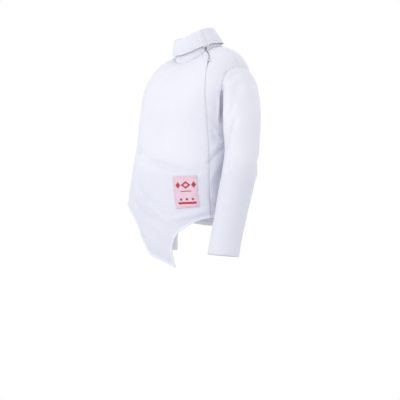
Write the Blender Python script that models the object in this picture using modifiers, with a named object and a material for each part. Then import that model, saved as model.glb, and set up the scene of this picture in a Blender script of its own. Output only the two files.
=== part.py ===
"""Child's side-zip fencing jacket with a turn-down collar, hanging sleeves and a groin tail."""

import math

import bmesh
import bpy
import numpy as np

CLOTH_WALL = 0.0019
TAPE_WALL = 0.0012
LABEL_WALL = 0.0011
SEAM_INSET = 0.00025
LABEL_LIFT = 0.0016
TAPE_DEPTH = 0.0024
TAPE_HALF_WIDTH = 0.009
TAPE_START = 0.03
TAPE_END_Z = -0.372
TAPE_ROWS = 40
PLACKET_WIDTH = 0.009
PLACKET_LIFT = 0.0009

NORMAL_STEP = 0.01
YOKE_BOTTOM_Z = -0.145
BODY_SPAN = 0.355

# Neck seam and collar rings: angle from the front centre, neck z, fold z, fall edge z.
RINGS = (
    (-180, 0.008, 0.045, 0.0145),
    (-135, 0.003, 0.038, 0.0085),
    (-90, -0.007, 0.0265, -0.0005),
    (-68, -0.014, 0.0225, -0.0070),
    (-46, -0.022, 0.0190, -0.0140),
    (-25, -0.030, 0.0165, -0.0170),
    (0, -0.034, 0.0175, -0.0170),
    (25, -0.029, 0.0235, -0.0115),
    (46, -0.019, 0.0310, -0.0030),
    (68, -0.007, 0.0380, 0.0055),
    (90, 0.003, 0.0430, 0.0110),
    (135, 0.008, 0.0450, 0.0145),
    (180, 0.008, 0.0450, 0.0145),
)
NECK_COLUMN, FOLD_COLUMN, FALL_COLUMN = 1, 2, 3

# Each ring: half width, half depth, centre y.
NECK_RING = (0.052, 0.052, -0.005)
FOLD_RING = (0.042, 0.042, -0.017)
FALL_RING = (0.0560, 0.0580, -0.0050)

# Torso sections: height, half width, front y, middle y, back y, squareness.
SECTIONS = (
    (-0.145, 0.131, -0.125, 0.006, 0.092, 2.4),
    (-0.200, 0.129, -0.130, -0.014, 0.080, 2.4),
    (-0.250, 0.130, -0.139, -0.028, 0.069, 2.4),
    (-0.300, 0.132, -0.147, -0.039, 0.064, 2.4),
    (-0.350, 0.137, -0.151, -0.044, 0.066, 2.4),
    (-0.400, 0.139, -0.145, -0.045, 0.070, 2.4),
    (-0.450, 0.137, -0.130, -0.044, 0.068, 2.4),
    (-0.500, 0.130, -0.112, -0.040, 0.060, 2.4),
)

# Yoke curve from neck to chest: straight share and roundness, at the front, side and back.
YOKE_FRONT = (0.62, 2.0)
YOKE_SIDE = (0.11, 3.2)
YOKE_BACK = (0.25, 2.4)

# Zip line: height parameter, angle from the front centre.
ZIP_LINE = (
    (0.00, 66.0),
    (0.19, 60.5),
    (0.41, 54.5),
    (0.83, 49.0),
    (1.056, 54.0),
    (1.19, 58.0),
    (1.348, 63.0),
    (1.504, 66.0),
    (1.634, 67.0),
)

# Half gap between the zip edges: height parameter, half gap.
ZIP_GAP = (
    (0.00, 0.0040),
    (0.28, 0.0040),
    (0.37, 0.0012),
    (0.46, 0.0004),
    (2.00, 0.0004),
)

# Hem of the front, wearer's right to left: angle from the front centre, height.
FRONT_HEM = (
    (-90.0, -0.353),
    (-68.0, -0.350),
    (-47.0, -0.350),
    (-35.0, -0.357),
    (-26.0, -0.369),
    (-19.0, -0.385),
    (-15.0, -0.401),
    (-12.0, -0.427),
    (-10.0, -0.445),
    (-7.0, -0.4570),
    (0.0, -0.4665),
    (9.0, -0.477),
    (16.0, -0.483),
    (14.8, -0.474),
    (14.6, -0.4565),
    (17.6, -0.435),
    (23.3, -0.4165),
    (33.0, -0.400),
    (44.0, -0.388),
    (57.5, -0.379),
    (67.0, -0.376),
)
SIDE_HEM = ((67.0, -0.376), (78.0, -0.375), (90.0, -0.376))
BACK_HEM = ((90.0, -0.376), (130.0, -0.392), (180.0, -0.398), (230.0, -0.384), (270.0, -0.353))

# Armhole: middle and half height in the height parameter, widths to front and back in degrees.
ARMHOLE_MIDDLE = 0.805
ARMHOLE_HALF_HEIGHT = 0.225
ARMHOLE_FRONT_WIDTH = 21.0
ARMHOLE_BACK_WIDTH = 26.0
ARMHOLE_RISE_INSET = 0.0048
ARMHOLE_TURN_INSET = 0.6

YOKE_ROWS = 7
ARMHOLE_ROWS = 13
BODY_ROWS = 16
FRONT_COLUMNS = 37
SIDE_COLUMNS = 9
BACK_COLUMNS = 23

# Metres for a degree round the torso and round a sleeve, and how far a fold runs past its middle.
FOLD_SCALE = 0.0022
SLEEVE_FOLD_SCALE = 0.0007
FOLD_REACH = 0.85

# Torso folds: start angle, start z, end angle, end z, half width, height.
TORSO_FOLDS = (
    (-52, -0.216, 0, -0.253, 0.009, -0.0034),
    (0, -0.253, 50, -0.281, 0.009, -0.0028),
    (-40, -0.203, 44, -0.256, 0.014, 0.0032),
    (-26, -0.306, 2, -0.345, 0.008, 0.0022),
    (2, -0.345, 18, -0.385, 0.008, 0.0020),
    (-30, -0.322, 12, -0.388, 0.006, -0.0026),
    (-14, -0.292, 16, -0.336, 0.007, -0.0020),
    (56, -0.190, 80, -0.205, 0.006, -0.0026),
    (54, -0.160, 74, -0.172, 0.006, -0.0020),
    (22, -0.372, 52, -0.362, 0.008, -0.0018),
    (-20, -0.110, -62, -0.150, 0.012, -0.0026),
    (118, -0.230, 200, -0.252, 0.011, -0.0034),
    (158, -0.206, 250, -0.226, 0.012, 0.0030),
    (150, -0.300, 215, -0.330, 0.010, -0.0026),
    (120, -0.330, 165, -0.360, 0.009, 0.0026),
    (200, -0.120, 240, -0.165, 0.012, -0.0026),
    (128, -0.120, 160, -0.160, 0.012, -0.0024),
    (250, -0.270, 300, -0.246, 0.009, -0.0028),
)

# Left arm sections below the cap: centre x, centre y, z, half width, half depth.
LEFT_ARM = (
    (0.1710, -0.0410, -0.185, 0.0365, 0.0430),
    (0.1735, -0.0430, -0.230, 0.0355, 0.0385),
    (0.1745, -0.0530, -0.280, 0.0355, 0.0375),
    (0.1745, -0.0660, -0.326, 0.0345, 0.0370),
    (0.1735, -0.0800, -0.380, 0.0325, 0.0350),
    (0.1720, -0.0910, -0.425, 0.0320, 0.0340),
    (0.1710, -0.0975, -0.455, 0.0325, 0.0335),
)
RIGHT_ARM = (
    (-0.1720, 0.0340, -0.185, 0.0365, 0.0405),
    (-0.1730, 0.0440, -0.230, 0.0355, 0.0385),
    (-0.1725, 0.0500, -0.280, 0.0355, 0.0380),
    (-0.1730, 0.0530, -0.326, 0.0345, 0.0370),
    (-0.1730, 0.0510, -0.380, 0.0325, 0.0350),
    (-0.1725, 0.0480, -0.425, 0.0320, 0.0340),
    (-0.1720, 0.0460, -0.455, 0.0325, 0.0335),
)
# Collar stand: degrees that its ends stop short of the zip line, and its gaps to the seam and fold.
STAND_END = 3.0
STAND_ABOVE_SEAM = 0.0012
STAND_BELOW_FOLD = 0.0032
STAND_ROWS = 5
STAND_COLUMNS = 45

# Rolled top of the fall: distance out from the fold ring, height over it.
FALL_ROLL = ((-0.0016, -0.0014), (-0.0008, 0.0008), (0.0010, 0.0019), (0.0030, 0.0010), (0.0041, -0.0022))

# Ends of the fall, in degrees from the zip line, and how far the front end stands off and steps up.
FALL_LAP = 8.0
FALL_UNDERLAP = 2.0
FALL_LAP_START = 0.93
FALL_LAP_RISE = 0.0030
FALL_STEP = 0.0035
FALL_STEP_END = 6.0
FALL_SPRING = 0.0012
FALL_ROWS = 4
FALL_COLUMNS = 49

CAP_ROWS = 7
ARM_ROWS = 15
ARM_COLUMNS = 24

# Cap of the sleeve: the way its cloth leaves the armhole, and the strength of the curve at both ends.
CAP_OUT, CAP_SPREAD, CAP_DOWN = 0.82, 0.40, 0.50
CAP_HEIGHT = 0.12
CAP_LEAVE = 0.085
CAP_ARRIVE = 0.060
CAP_FOLD_START = 0.35
ARM_STEP = 0.02

# Sleeve folds: start angle round the arm, start z, end angle, end z, half width, height.
SLEEVE_FOLDS = (
    (70, -0.085, 95, -0.185, 0.008, -0.0030),
    (40, -0.075, 62, -0.180, 0.009, 0.0030),
    (110, -0.160, 60, -0.215, 0.007, -0.0034),
    (120, -0.215, 60, -0.245, 0.008, 0.0026),
    (110, -0.262, 45, -0.290, 0.008, -0.0022),
    (100, -0.380, 30, -0.352, 0.010, -0.0020),
    (300, -0.100, 270, -0.200, 0.009, -0.0030),
    (260, -0.230, 320, -0.262, 0.009, -0.0028),
    (230, -0.330, 310, -0.360, 0.010, -0.0022),
    (170, -0.240, 220, -0.268, 0.008, -0.0026),
)

# Label corners: angle and height, top front, top back, bottom front, bottom back.
LABEL_TOP = ((23.0, -0.2875), (50.3, -0.2847))
LABEL_BOTTOM = ((28.0, -0.3560), (54.0, -0.3520))

LABEL_ROWS = 8
LABEL_COLUMNS = 7

SLIDER_PARAMETER = 0.20
SLIDER_STEP = 0.03
SLIDER_WIDTH = 0.0050
SLIDER_LENGTH = 0.0080
SLIDER_THICKNESS = 0.0024
BRIDGE_WIDTH = 0.0016
BRIDGE_RISE = 0.0038
BRIDGE_BAR = 0.0009
BRIDGE_ROOT = 0.0006
BRIDGE_LENGTH = 0.0056
SLIDER_ROUNDING = 0.0006
PULL_ROUNDING = 0.0003
PULL_WIDTH = 0.0050
PULL_LENGTH = 0.0125
PULL_WALL = 0.0011
PULL_EYE_WIDTH = 0.0026
PULL_EYE_LENGTH = 0.0046
PULL_BAR = 0.0010
PULL_AXIS_RISE = 0.0016
PULL_TILT = 6.0
SLIDER_LIFT = 0.0003

MATERIALS = {
    "jacket_cloth": ((0.86, 0.88, 0.93, 1.0), 0.78, 0.0),
    "zip_cloth": ((0.80, 0.82, 0.86, 1.0), 0.70, 0.0),
    "zip_metal": ((0.62, 0.63, 0.66, 1.0), 0.35, 0.9),
    "label_cloth": ((0.93, 0.62, 0.70, 1.0), 0.60, 0.0),
}


def along(table, x, column=1):
    """Smooth value of a table column at x, through every row, with no overshoot past its neighbours."""
    xs = [row[0] for row in table]
    ys = [row[column] for row in table]
    if x <= xs[0]:
        return ys[0]
    if x >= xs[-1]:
        return ys[-1]
    i = max(k for k in range(len(xs) - 1) if xs[k] <= x)
    slopes = [(ys[k + 1] - ys[k]) / (xs[k + 1] - xs[k]) for k in range(len(xs) - 1)]

    def tangent(k):
        if k == 0:
            return slopes[0]
        if k == len(xs) - 1:
            return slopes[-1]
        before, after = slopes[k - 1], slopes[k]
        if before * after <= 0:
            return 0.0
        return 2 * before * after / (before + after)

    span = xs[i + 1] - xs[i]
    t = (x - xs[i]) / span
    return (
        ys[i] * (1 + 2 * t) * (1 - t) ** 2
        + tangent(i) * span * t * (1 - t) ** 2
        + ys[i + 1] * t * t * (3 - 2 * t)
        + tangent(i + 1) * span * t * t * (t - 1)
    )


def ring_point(ring, column, degrees):
    """Point of a collar ring at an angle from the front centre."""
    half_width, half_depth, centre = ring
    angle = math.radians(degrees)
    return np.array(
        (
            half_width * math.sin(angle),
            centre - half_depth * math.cos(angle),
            along(RINGS, (degrees + 180.0) % 360.0 - 180.0, column),
        )
    )


def section_point(degrees, z):
    """Point of the torso's level section at z."""
    rows = [(-row[0],) + row[1:] for row in SECTIONS]
    half_width, front, middle, back, squareness = (along(rows, -z, k) for k in range(1, 6))
    angle = math.radians(degrees)
    s, c = math.sin(angle), math.cos(angle)
    power = 2.0 / squareness
    depth = middle - front if c > 0 else back - middle
    return np.array(
        (
            half_width * math.copysign(abs(s) ** power, s),
            middle - depth * math.copysign(abs(c) ** power, c),
            z,
        )
    )


def yoke_shape(degrees):
    """Straight share and roundness of the yoke curve at an angle."""
    c = math.cos(math.radians(degrees))
    end = YOKE_FRONT if c > 0 else YOKE_BACK
    share = c * c
    return tuple(side + (e - side) * share for side, e in zip(YOKE_SIDE, end))


def height_of(v):
    return YOKE_BOTTOM_Z - (v - 1.0) * BODY_SPAN


def parameter_of(z):
    return 1.0 + (YOKE_BOTTOM_Z - z) / BODY_SPAN


def bare_point(degrees, v):
    """Torso surface with no folds: v is 0 at the neck seam, 1 at the yoke's bottom, and then follows z."""
    if v >= 1.0:
        return section_point(degrees, height_of(v))
    neck = ring_point(NECK_RING, NECK_COLUMN, degrees)
    chest = section_point(degrees, YOKE_BOTTOM_Z)
    straight, roundness = yoke_shape(degrees)
    turn = 0.5 * math.pi * max(v, 0.0)
    out = math.sin(turn) ** (2.0 / roundness)
    rest = max(math.cos(turn), 0.0) ** (2.0 / roundness)
    drop = straight * out + (1.0 - straight) * (1.0 - rest)
    point = neck + (chest - neck) * out
    point[2] = neck[2] + (chest[2] - neck[2]) * drop
    return point


def surface_normal(function, a, b, step_a, step_b):
    """Unit normal of a surface function, by central differences."""
    across = function(a + step_a, b) - function(a - step_a, b)
    down = function(a, b + step_b) - function(a, b - step_b)
    normal = np.cross(down, across)
    return normal / np.linalg.norm(normal)


def torso_normal(degrees, v):
    return surface_normal(bare_point, degrees, max(v, NORMAL_STEP * 2), 50 * NORMAL_STEP, NORMAL_STEP)


def fold_height(folds, across, z, scale):
    """Sum of the soft folds at a place: across is an angle in degrees, scale turns it into metres."""
    total = 0.0
    for start, start_z, end, end_z, half_width, height in folds:
        for turn in (-360.0, 0.0, 360.0):
            ax, az = (start + turn) * scale, start_z
            dx, dz = (end - start) * scale, end_z - start_z
            length = math.hypot(dx, dz)
            px, pz = across * scale - ax, z - az
            t = (px * dx + pz * dz) / (length * length)
            if abs(t - 0.5) > FOLD_REACH:
                continue
            aside = (px * dz - pz * dx) / length
            fade = math.exp(-((2.0 * t - 1.0) ** 4))
            total += height * fade * math.exp(-((aside / half_width) ** 2))
    return total


def zip_angle(v):
    return along(ZIP_LINE, v)


def metres_per_degree(degrees, v):
    return np.linalg.norm(bare_point(degrees + 0.5, v) - bare_point(degrees - 0.5, v))


def torso_point(degrees, v, lift=0.0, placket=True):
    """Torso surface with its folds and, on the front, the raised placket, moved out by lift."""
    point = bare_point(degrees, v)
    height = lift + fold_height(TORSO_FOLDS, degrees % 360.0, point[2], FOLD_SCALE)
    angle = (degrees + 180.0) % 360.0 - 180.0
    beside = (zip_angle(v) - angle) * metres_per_degree(angle, v)
    if placket and 0.0 <= beside < 2.0 * PLACKET_WIDTH:
        height += PLACKET_LIFT * math.exp(-((beside / PLACKET_WIDTH) ** 4))
    return point + torso_normal(degrees, v) * height


def add_grid(name, points, material, wall, closed=False, collection=None):
    """Named object from rows of points, thickened inwards; each row runs to the wearer's left."""
    rows, columns = len(points), len(points[0])
    vertices = [tuple(p) for row in points for p in row]
    faces = []
    for i in range(rows - 1):
        for j in range(columns if closed else columns - 1):
            k = (j + 1) % columns
            faces.append((i * columns + j, (i + 1) * columns + j, (i + 1) * columns + k, i * columns + k))
    mesh = bpy.data.meshes.new(name)
    mesh.from_pydata(vertices, [], faces)
    mesh.update()
    obj = bpy.data.objects.new(name, mesh)
    collection.objects.link(obj)
    solid = obj.modifiers.new("Cloth", "SOLIDIFY")
    solid.thickness = wall
    solid.offset = -1.0
    solid.use_even_offset = False
    mesh.materials.append(material)
    return obj


def spread(count):
    return [i / (count - 1) for i in range(count)]


def armhole_rows(count):
    return [ARMHOLE_MIDDLE - ARMHOLE_HALF_HEIGHT * math.cos(math.pi * i / (count - 1)) for i in range(count)]


def armhole_bulge(v, width):
    """Degrees that the armhole takes from a panel at a height parameter."""
    t = (v - ARMHOLE_MIDDLE) / ARMHOLE_HALF_HEIGHT
    return width * math.sqrt(max(1.0 - t * t, 0.0))


def inset(degrees, v, distance):
    """Degrees that give a distance along the surface."""
    return distance / max(metres_per_degree(degrees, v), 1e-5)


def seam_edge(degrees, v, side, width):
    """Panel edge at a side seam or shoulder, with the armhole cut out; side is the way into the panel."""
    edge = degrees + side * armhole_bulge(v, width)
    return edge + side * inset(edge, v, SEAM_INSET)


def hem_curve(table, share):
    """Angle and height at a share of the hem's length."""
    places = [(a * FOLD_SCALE, z) for a, z in table]
    lengths = [0.0]
    for a, b in zip(places, places[1:]):
        lengths.append(lengths[-1] + math.dist(a, b))
    at = share * lengths[-1]
    return tuple(along([(s, row[k]) for s, row in zip(lengths, table)], at) for k in (0, 1))


def panel(table, left, right, columns, body_rows):
    """Rows of points of a torso panel between two edge functions, down to its hem table."""
    upper = [v * (ARMHOLE_MIDDLE - ARMHOLE_HALF_HEIGHT) for v in spread(YOKE_ROWS)]
    around = armhole_rows(ARMHOLE_ROWS)[1:]
    points = []
    for v in upper + around:
        low, high = left(v), right(v)
        points.append([torso_point(low + (high - low) * r, v) for r in spread(columns)])
    start = around[-1]
    hem = []
    for r in spread(columns):
        angle, z = hem_curve(table, r)
        v = parameter_of(z)
        low, high = left(v), right(v)
        hem.append((min(max((angle - low) / (high - low), 0.0), 1.0), v))
    hem[0] = (0.0, hem[0][1])
    hem[-1] = (1.0, hem[-1][1])
    for i in range(1, body_rows):
        s = i / (body_rows - 1)
        row = []
        for r, (share, bottom) in zip(spread(columns), hem):
            v = start + (bottom - start) * s
            low, high = left(v), right(v)
            blend = r + (share - r) * s * s
            row.append(torso_point(low + (high - low) * blend, v))
        points.append(row)
    return points


def front_left_edge(v):
    return seam_edge(-90.0, v, 1.0, ARMHOLE_FRONT_WIDTH)


def front_right_edge(v):
    angle = zip_angle(v)
    return angle - inset(angle, v, along(ZIP_GAP, v))


def side_left_edge(v):
    angle = zip_angle(v)
    return angle + inset(angle, v, along(ZIP_GAP, v))


def side_right_edge(v):
    return seam_edge(90.0, v, -1.0, ARMHOLE_FRONT_WIDTH)


def back_left_edge(v):
    return seam_edge(90.0, v, 1.0, ARMHOLE_BACK_WIDTH)


def back_right_edge(v):
    return seam_edge(270.0, v, -1.0, ARMHOLE_BACK_WIDTH)


def armhole_point(side, turn):
    """Point of the sleeve's first ring, just inside the armhole; turn 0 is the shoulder, 90 the front."""
    angle = math.radians(turn)
    v = ARMHOLE_MIDDLE - (ARMHOLE_HALF_HEIGHT - ARMHOLE_RISE_INSET) * math.cos(angle)
    width = ARMHOLE_FRONT_WIDTH if math.sin(angle) > 0 else ARMHOLE_BACK_WIDTH
    degrees = 90.0 - (width - ARMHOLE_TURN_INSET) * math.sin(angle)
    return bare_point(side * degrees, v)


def arm_frame(table, z):
    rows = [(-row[2], row[0], row[1], row[3], row[4]) for row in table]
    x, y, half_width, half_depth = (along(rows, -z, k) for k in range(1, 5))
    return np.array((x, y, z)), half_width, half_depth


def arm_point(table, side, turn, z):
    """Point on the sleeve tube below the cap."""
    centre, half_width, half_depth = arm_frame(table, z)
    above = arm_frame(table, z + ARM_STEP)[0]
    below = arm_frame(table, z - ARM_STEP)[0]
    along_arm = below - above
    along_arm /= np.linalg.norm(along_arm)
    front = np.array((0.0, -1.0, 0.0))
    front -= along_arm * front.dot(along_arm)
    front /= np.linalg.norm(front)
    out = np.cross(front, along_arm)
    out *= math.copysign(1.0, out[0] * side)
    angle = math.radians(turn)
    return centre + out * half_width * math.cos(angle) + front * half_depth * math.sin(angle)


def bare_sleeve(table, side, turn, s):
    """Sleeve surface: s from 0 to 1 is the cap, then on to 2 at the cuff."""
    top, bottom = table[0][2], table[-1][2]
    if s > 1.0:
        return arm_point(table, side, turn, top + (bottom - top) * (s - 1.0))
    start = armhole_point(side, turn)
    end = arm_point(table, side, turn, top)
    angle = math.radians(turn)
    leave = np.array((side * CAP_OUT, -CAP_SPREAD * math.sin(angle), -CAP_DOWN))
    leave /= np.linalg.norm(leave)
    nearness = np.linalg.norm(end - start) / CAP_HEIGHT
    arrive = arm_point(table, side, turn, top - ARM_STEP / 2) - end
    arrive /= np.linalg.norm(arrive)
    a, b = leave * CAP_LEAVE * nearness, arrive * CAP_ARRIVE * nearness
    return (
        start * (1 + 2 * s) * (1 - s) ** 2
        + a * s * (1 - s) ** 2
        + end * s * s * (3 - 2 * s)
        + b * s * s * (s - 1)
    )


def sleeve_point(table, side, turn, s):
    point = bare_sleeve(table, side, turn, s)
    held = min(max(s, ARM_STEP), 2.0 - ARM_STEP)
    normal = surface_normal(lambda a, b: bare_sleeve(table, side, a, b), turn, held, 1.0, ARM_STEP)
    normal *= -side
    fade = min(1.0, s / CAP_FOLD_START)
    lift = fold_height(SLEEVE_FOLDS, turn % 360.0, point[2], SLEEVE_FOLD_SCALE) * fade
    return point + normal * lift


def build_sleeve(name, table, side, material, collection):
    turns = [360.0 * j / ARM_COLUMNS for j in range(ARM_COLUMNS)]
    if side < 0:
        turns = [-t for t in turns]
    turns = [-t for t in turns]
    levels = [i / CAP_ROWS for i in range(CAP_ROWS)] + [1.0 + i / ARM_ROWS for i in range(ARM_ROWS + 1)]
    points = [[sleeve_point(table, side, t, s) for t in turns] for s in levels]
    return add_grid(name, points, material, CLOTH_WALL, True, collection)


def build_stand(material, collection):
    """Standing band from just above the neck seam to just under the fold."""
    start, end = ZIP_LINE[0][1] + STAND_END, ZIP_LINE[0][1] - STAND_END + 360.0
    points = []
    for share in reversed(spread(STAND_ROWS)):
        row = []
        for r in spread(STAND_COLUMNS):
            degrees = start + (end - start) * r
            low = ring_point(NECK_RING, NECK_COLUMN, degrees)
            high = ring_point(FOLD_RING, FOLD_COLUMN, degrees)
            low[2] += STAND_ABOVE_SEAM
            high[2] -= STAND_BELOW_FOLD
            row.append(low + (high - low) * share)
        points.append(row)
    return add_grid("collar_stand", points, material, CLOTH_WALL, False, collection)


def build_fall(material, collection):
    """Turned-down collar, from its rolled top to its lower edge, with the front end lapped over."""
    first, last = ZIP_LINE[0][1] - FALL_LAP, ZIP_LINE[0][1] + FALL_UNDERLAP + 360.0
    points = []
    for k in range(len(FALL_ROLL) + FALL_ROWS):
        row = []
        for r in spread(FALL_COLUMNS):
            degrees = first + (last - first) * r
            angle = math.radians(degrees)
            outward = np.array((math.sin(angle), -math.cos(angle), 0.0))
            lap = FALL_LAP_RISE * max(0.0, (r - FALL_LAP_START) / (1.0 - FALL_LAP_START))
            out, rise = FALL_ROLL[min(k, len(FALL_ROLL) - 1)]
            point = ring_point(FOLD_RING, FOLD_COLUMN, degrees) + outward * out
            point[2] += rise
            if k < len(FALL_ROLL):
                point += outward * lap * max(0.0, (k - 1) / (len(FALL_ROLL) - 2))
            else:
                t = (k - len(FALL_ROLL) + 1) / FALL_ROWS
                edge = ring_point(FALL_RING, FALL_COLUMN, degrees)
                if degrees < ZIP_LINE[0][1] + FALL_STEP_END:
                    edge[2] -= FALL_STEP
                point += (edge - point) * t + outward * (lap + FALL_SPRING * math.sin(math.pi * t))
            row.append(point)
        points.append(row)
    return add_grid("collar_fall", points, material, CLOTH_WALL, False, collection)


def build_tape(material, collection):
    """Tape and chain strip under the zip edges."""
    end = parameter_of(TAPE_END_Z)
    points = []
    for r in spread(TAPE_ROWS):
        v = TAPE_START + (end - TAPE_START) * r
        centre = zip_angle(v)
        half = inset(centre, v, TAPE_HALF_WIDTH)
        places = [centre + half * share for share in (-1.0, -0.4, 0.0, 0.4, 1.0)]
        points.append([torso_point(place, v, -TAPE_DEPTH, False) for place in places])
    return add_grid("zip_tape", points, material, TAPE_WALL, False, collection)


def build_label(material, collection):
    """Sewn patch made from the front panel's points, moved out."""
    points = []
    for s in spread(LABEL_ROWS):
        row = []
        for r in spread(LABEL_COLUMNS):
            top = [LABEL_TOP[0][k] + (LABEL_TOP[1][k] - LABEL_TOP[0][k]) * r for k in (0, 1)]
            low = [LABEL_BOTTOM[0][k] + (LABEL_BOTTOM[1][k] - LABEL_BOTTOM[0][k]) * r for k in (0, 1)]
            degrees, z = (top[k] + (low[k] - top[k]) * s for k in (0, 1))
            row.append(torso_point(degrees, parameter_of(z), LABEL_LIFT))
        points.append(row)
    return add_grid("label_patch", points, material, LABEL_WALL, False, collection)


def slider_frame():
    """Origin on the zip tape under the slider, with axes across, down the zip and out."""
    v = SLIDER_PARAMETER
    degrees = zip_angle(v)
    out = torso_normal(degrees, v)
    after, before = v + SLIDER_STEP, v - SLIDER_STEP
    down = bare_point(zip_angle(after), after) - bare_point(zip_angle(before), before)
    down -= out * down.dot(out)
    down /= np.linalg.norm(down)
    across = np.cross(down, out)
    base = torso_point(degrees, v, -TAPE_DEPTH, False)
    return base, across, down, out


def box(size, centre):
    """Corner points and faces of a box in slider axes."""
    corners = [
        (centre[0] + sx * size[0] / 2, centre[1] + sy * size[1] / 2, centre[2] + sz * size[2] / 2)
        for sx in (-1, 1)
        for sy in (-1, 1)
        for sz in (-1, 1)
    ]
    faces = [(0, 1, 3, 2), (4, 6, 7, 5), (0, 4, 5, 1), (2, 3, 7, 6), (0, 2, 6, 4), (1, 5, 7, 3)]
    return corners, faces


def placed_mesh(name, parts, origin, axes, material, collection):
    """Object from slider-axis parts, with its mesh turned to the axes and its origin at a point."""
    mesh = bpy.data.meshes.new(name)
    vertices, faces = [], []
    for corners, part_faces in parts:
        first = len(vertices)
        vertices += [tuple(axes[0] * c[0] + axes[1] * c[1] + axes[2] * c[2]) for c in corners]
        faces += [tuple(first + i for i in face) for face in part_faces]
    mesh.from_pydata(vertices, [], faces)
    work = bmesh.new()
    work.from_mesh(mesh)
    bmesh.ops.recalc_face_normals(work, faces=work.faces)
    work.to_mesh(mesh)
    work.free()
    obj = bpy.data.objects.new(name, mesh)
    obj.location = tuple(origin)
    collection.objects.link(obj)
    mesh.materials.append(material)
    return obj


def build_slider(material, collection, cutters):
    """Slider body with a bridge over it, cut through for the pull's bar."""
    base, across, down, out = slider_frame()
    top = SLIDER_LIFT + SLIDER_THICKNESS
    body = placed_mesh(
        "zip_slider",
        [box((SLIDER_WIDTH, SLIDER_LENGTH, SLIDER_THICKNESS), (0, 0, top - SLIDER_THICKNESS / 2))],
        base, (across, down, out), material, collection,
    )
    bevel = body.modifiers.new("Edges", "BEVEL")
    bevel.width = SLIDER_ROUNDING
    bevel.segments = 2
    bridge_height = BRIDGE_RISE + BRIDGE_ROOT
    bridge = placed_mesh(
        "bridge_block",
        [box((BRIDGE_WIDTH, BRIDGE_LENGTH, bridge_height),
             (0, 0, top + (BRIDGE_RISE - BRIDGE_ROOT) / 2))],
        base, (across, down, out), material, cutters,
    )
    join = body.modifiers.new("Bridge", "BOOLEAN")
    join.operation = "UNION"
    join.solver = "EXACT"
    join.object = bridge
    opening_height = BRIDGE_RISE - BRIDGE_BAR
    opening = placed_mesh(
        "bridge_opening",
        [box((2 * BRIDGE_WIDTH, BRIDGE_LENGTH - 2 * BRIDGE_BAR, opening_height),
             (0, 0, top + opening_height / 2))],
        base, (across, down, out), material, cutters,
    )
    cut = body.modifiers.new("Opening", "BOOLEAN")
    cut.operation = "DIFFERENCE"
    cut.solver = "EXACT"
    cut.object = opening
    return body


def build_pull(material, collection, cutters):
    """Flat pull tab hanging on the bridge by its eye; its origin is on the hinge axis."""
    base, across, down, out = slider_frame()
    axis = base + out * (SLIDER_LIFT + SLIDER_THICKNESS + PULL_AXIS_RISE)
    tilt = math.radians(PULL_TILT)
    down, out = down * math.cos(tilt) + out * math.sin(tilt), out * math.cos(tilt) - down * math.sin(tilt)
    centre = PULL_LENGTH / 2 - PULL_BAR / 2
    tab = placed_mesh(
        "zip_pull", [box((PULL_WIDTH, PULL_LENGTH, PULL_WALL), (0, centre, 0))],
        axis, (across, down, out), material, collection,
    )
    bevel = tab.modifiers.new("Edges", "BEVEL")
    bevel.width = PULL_ROUNDING
    bevel.segments = 1
    eye = placed_mesh(
        "pull_eye",
        [box((PULL_EYE_WIDTH, PULL_EYE_LENGTH, 4 * PULL_WALL), (0, PULL_BAR / 2 + PULL_EYE_LENGTH / 2, 0))],
        axis, (across, down, out), material, cutters,
    )
    cut = tab.modifiers.new("Eye", "BOOLEAN")
    cut.operation = "DIFFERENCE"
    cut.solver = "EXACT"
    cut.object = eye
    return tab


def make_material(name):
    colour, roughness, metallic = MATERIALS[name]
    material = bpy.data.materials.new(name)
    material.use_nodes = True
    shader = material.node_tree.nodes["Principled BSDF"]
    shader.inputs["Base Color"].default_value = colour
    shader.inputs["Roughness"].default_value = roughness
    shader.inputs["Metallic"].default_value = metallic
    material.diffuse_color = colour
    return material


def main():
    for obj in list(bpy.data.objects):
        bpy.data.objects.remove(obj)
    jacket = bpy.data.collections.new("fencing_jacket")
    cutters = bpy.data.collections.new("cutters")
    bpy.context.scene.collection.children.link(jacket)
    bpy.context.scene.collection.children.link(cutters)
    cutters.hide_render = True
    cloth = make_material("jacket_cloth")
    tape_cloth = make_material("zip_cloth")
    metal = make_material("zip_metal")
    label_cloth = make_material("label_cloth")

    front = panel(FRONT_HEM, front_left_edge, front_right_edge, FRONT_COLUMNS, BODY_ROWS)
    add_grid("front_panel", front, cloth, CLOTH_WALL, False, jacket)
    side = panel(SIDE_HEM, side_left_edge, side_right_edge, SIDE_COLUMNS, BODY_ROWS)
    add_grid("side_front_panel", side, cloth, CLOTH_WALL, False, jacket)
    back = panel(BACK_HEM, back_left_edge, back_right_edge, BACK_COLUMNS, BODY_ROWS)
    add_grid("back_panel", back, cloth, CLOTH_WALL, False, jacket)
    build_sleeve("left_sleeve", LEFT_ARM, 1.0, cloth, jacket)
    build_sleeve("right_sleeve", RIGHT_ARM, -1.0, cloth, jacket)
    build_stand(cloth, jacket)
    build_fall(cloth, jacket)
    build_tape(tape_cloth, jacket)
    build_label(label_cloth, jacket)
    build_slider(metal, jacket, cutters)
    build_pull(metal, jacket, cutters)
    for obj in cutters.objects:
        obj.hide_render = True
        obj.display_type = "WIRE"


main()
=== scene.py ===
"""Looks of a child's side-zip fencing jacket: cloth shells, stitching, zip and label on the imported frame."""

import math

import bpy
import numpy as np
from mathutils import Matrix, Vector
from mathutils.kdtree import KDTree


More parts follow.
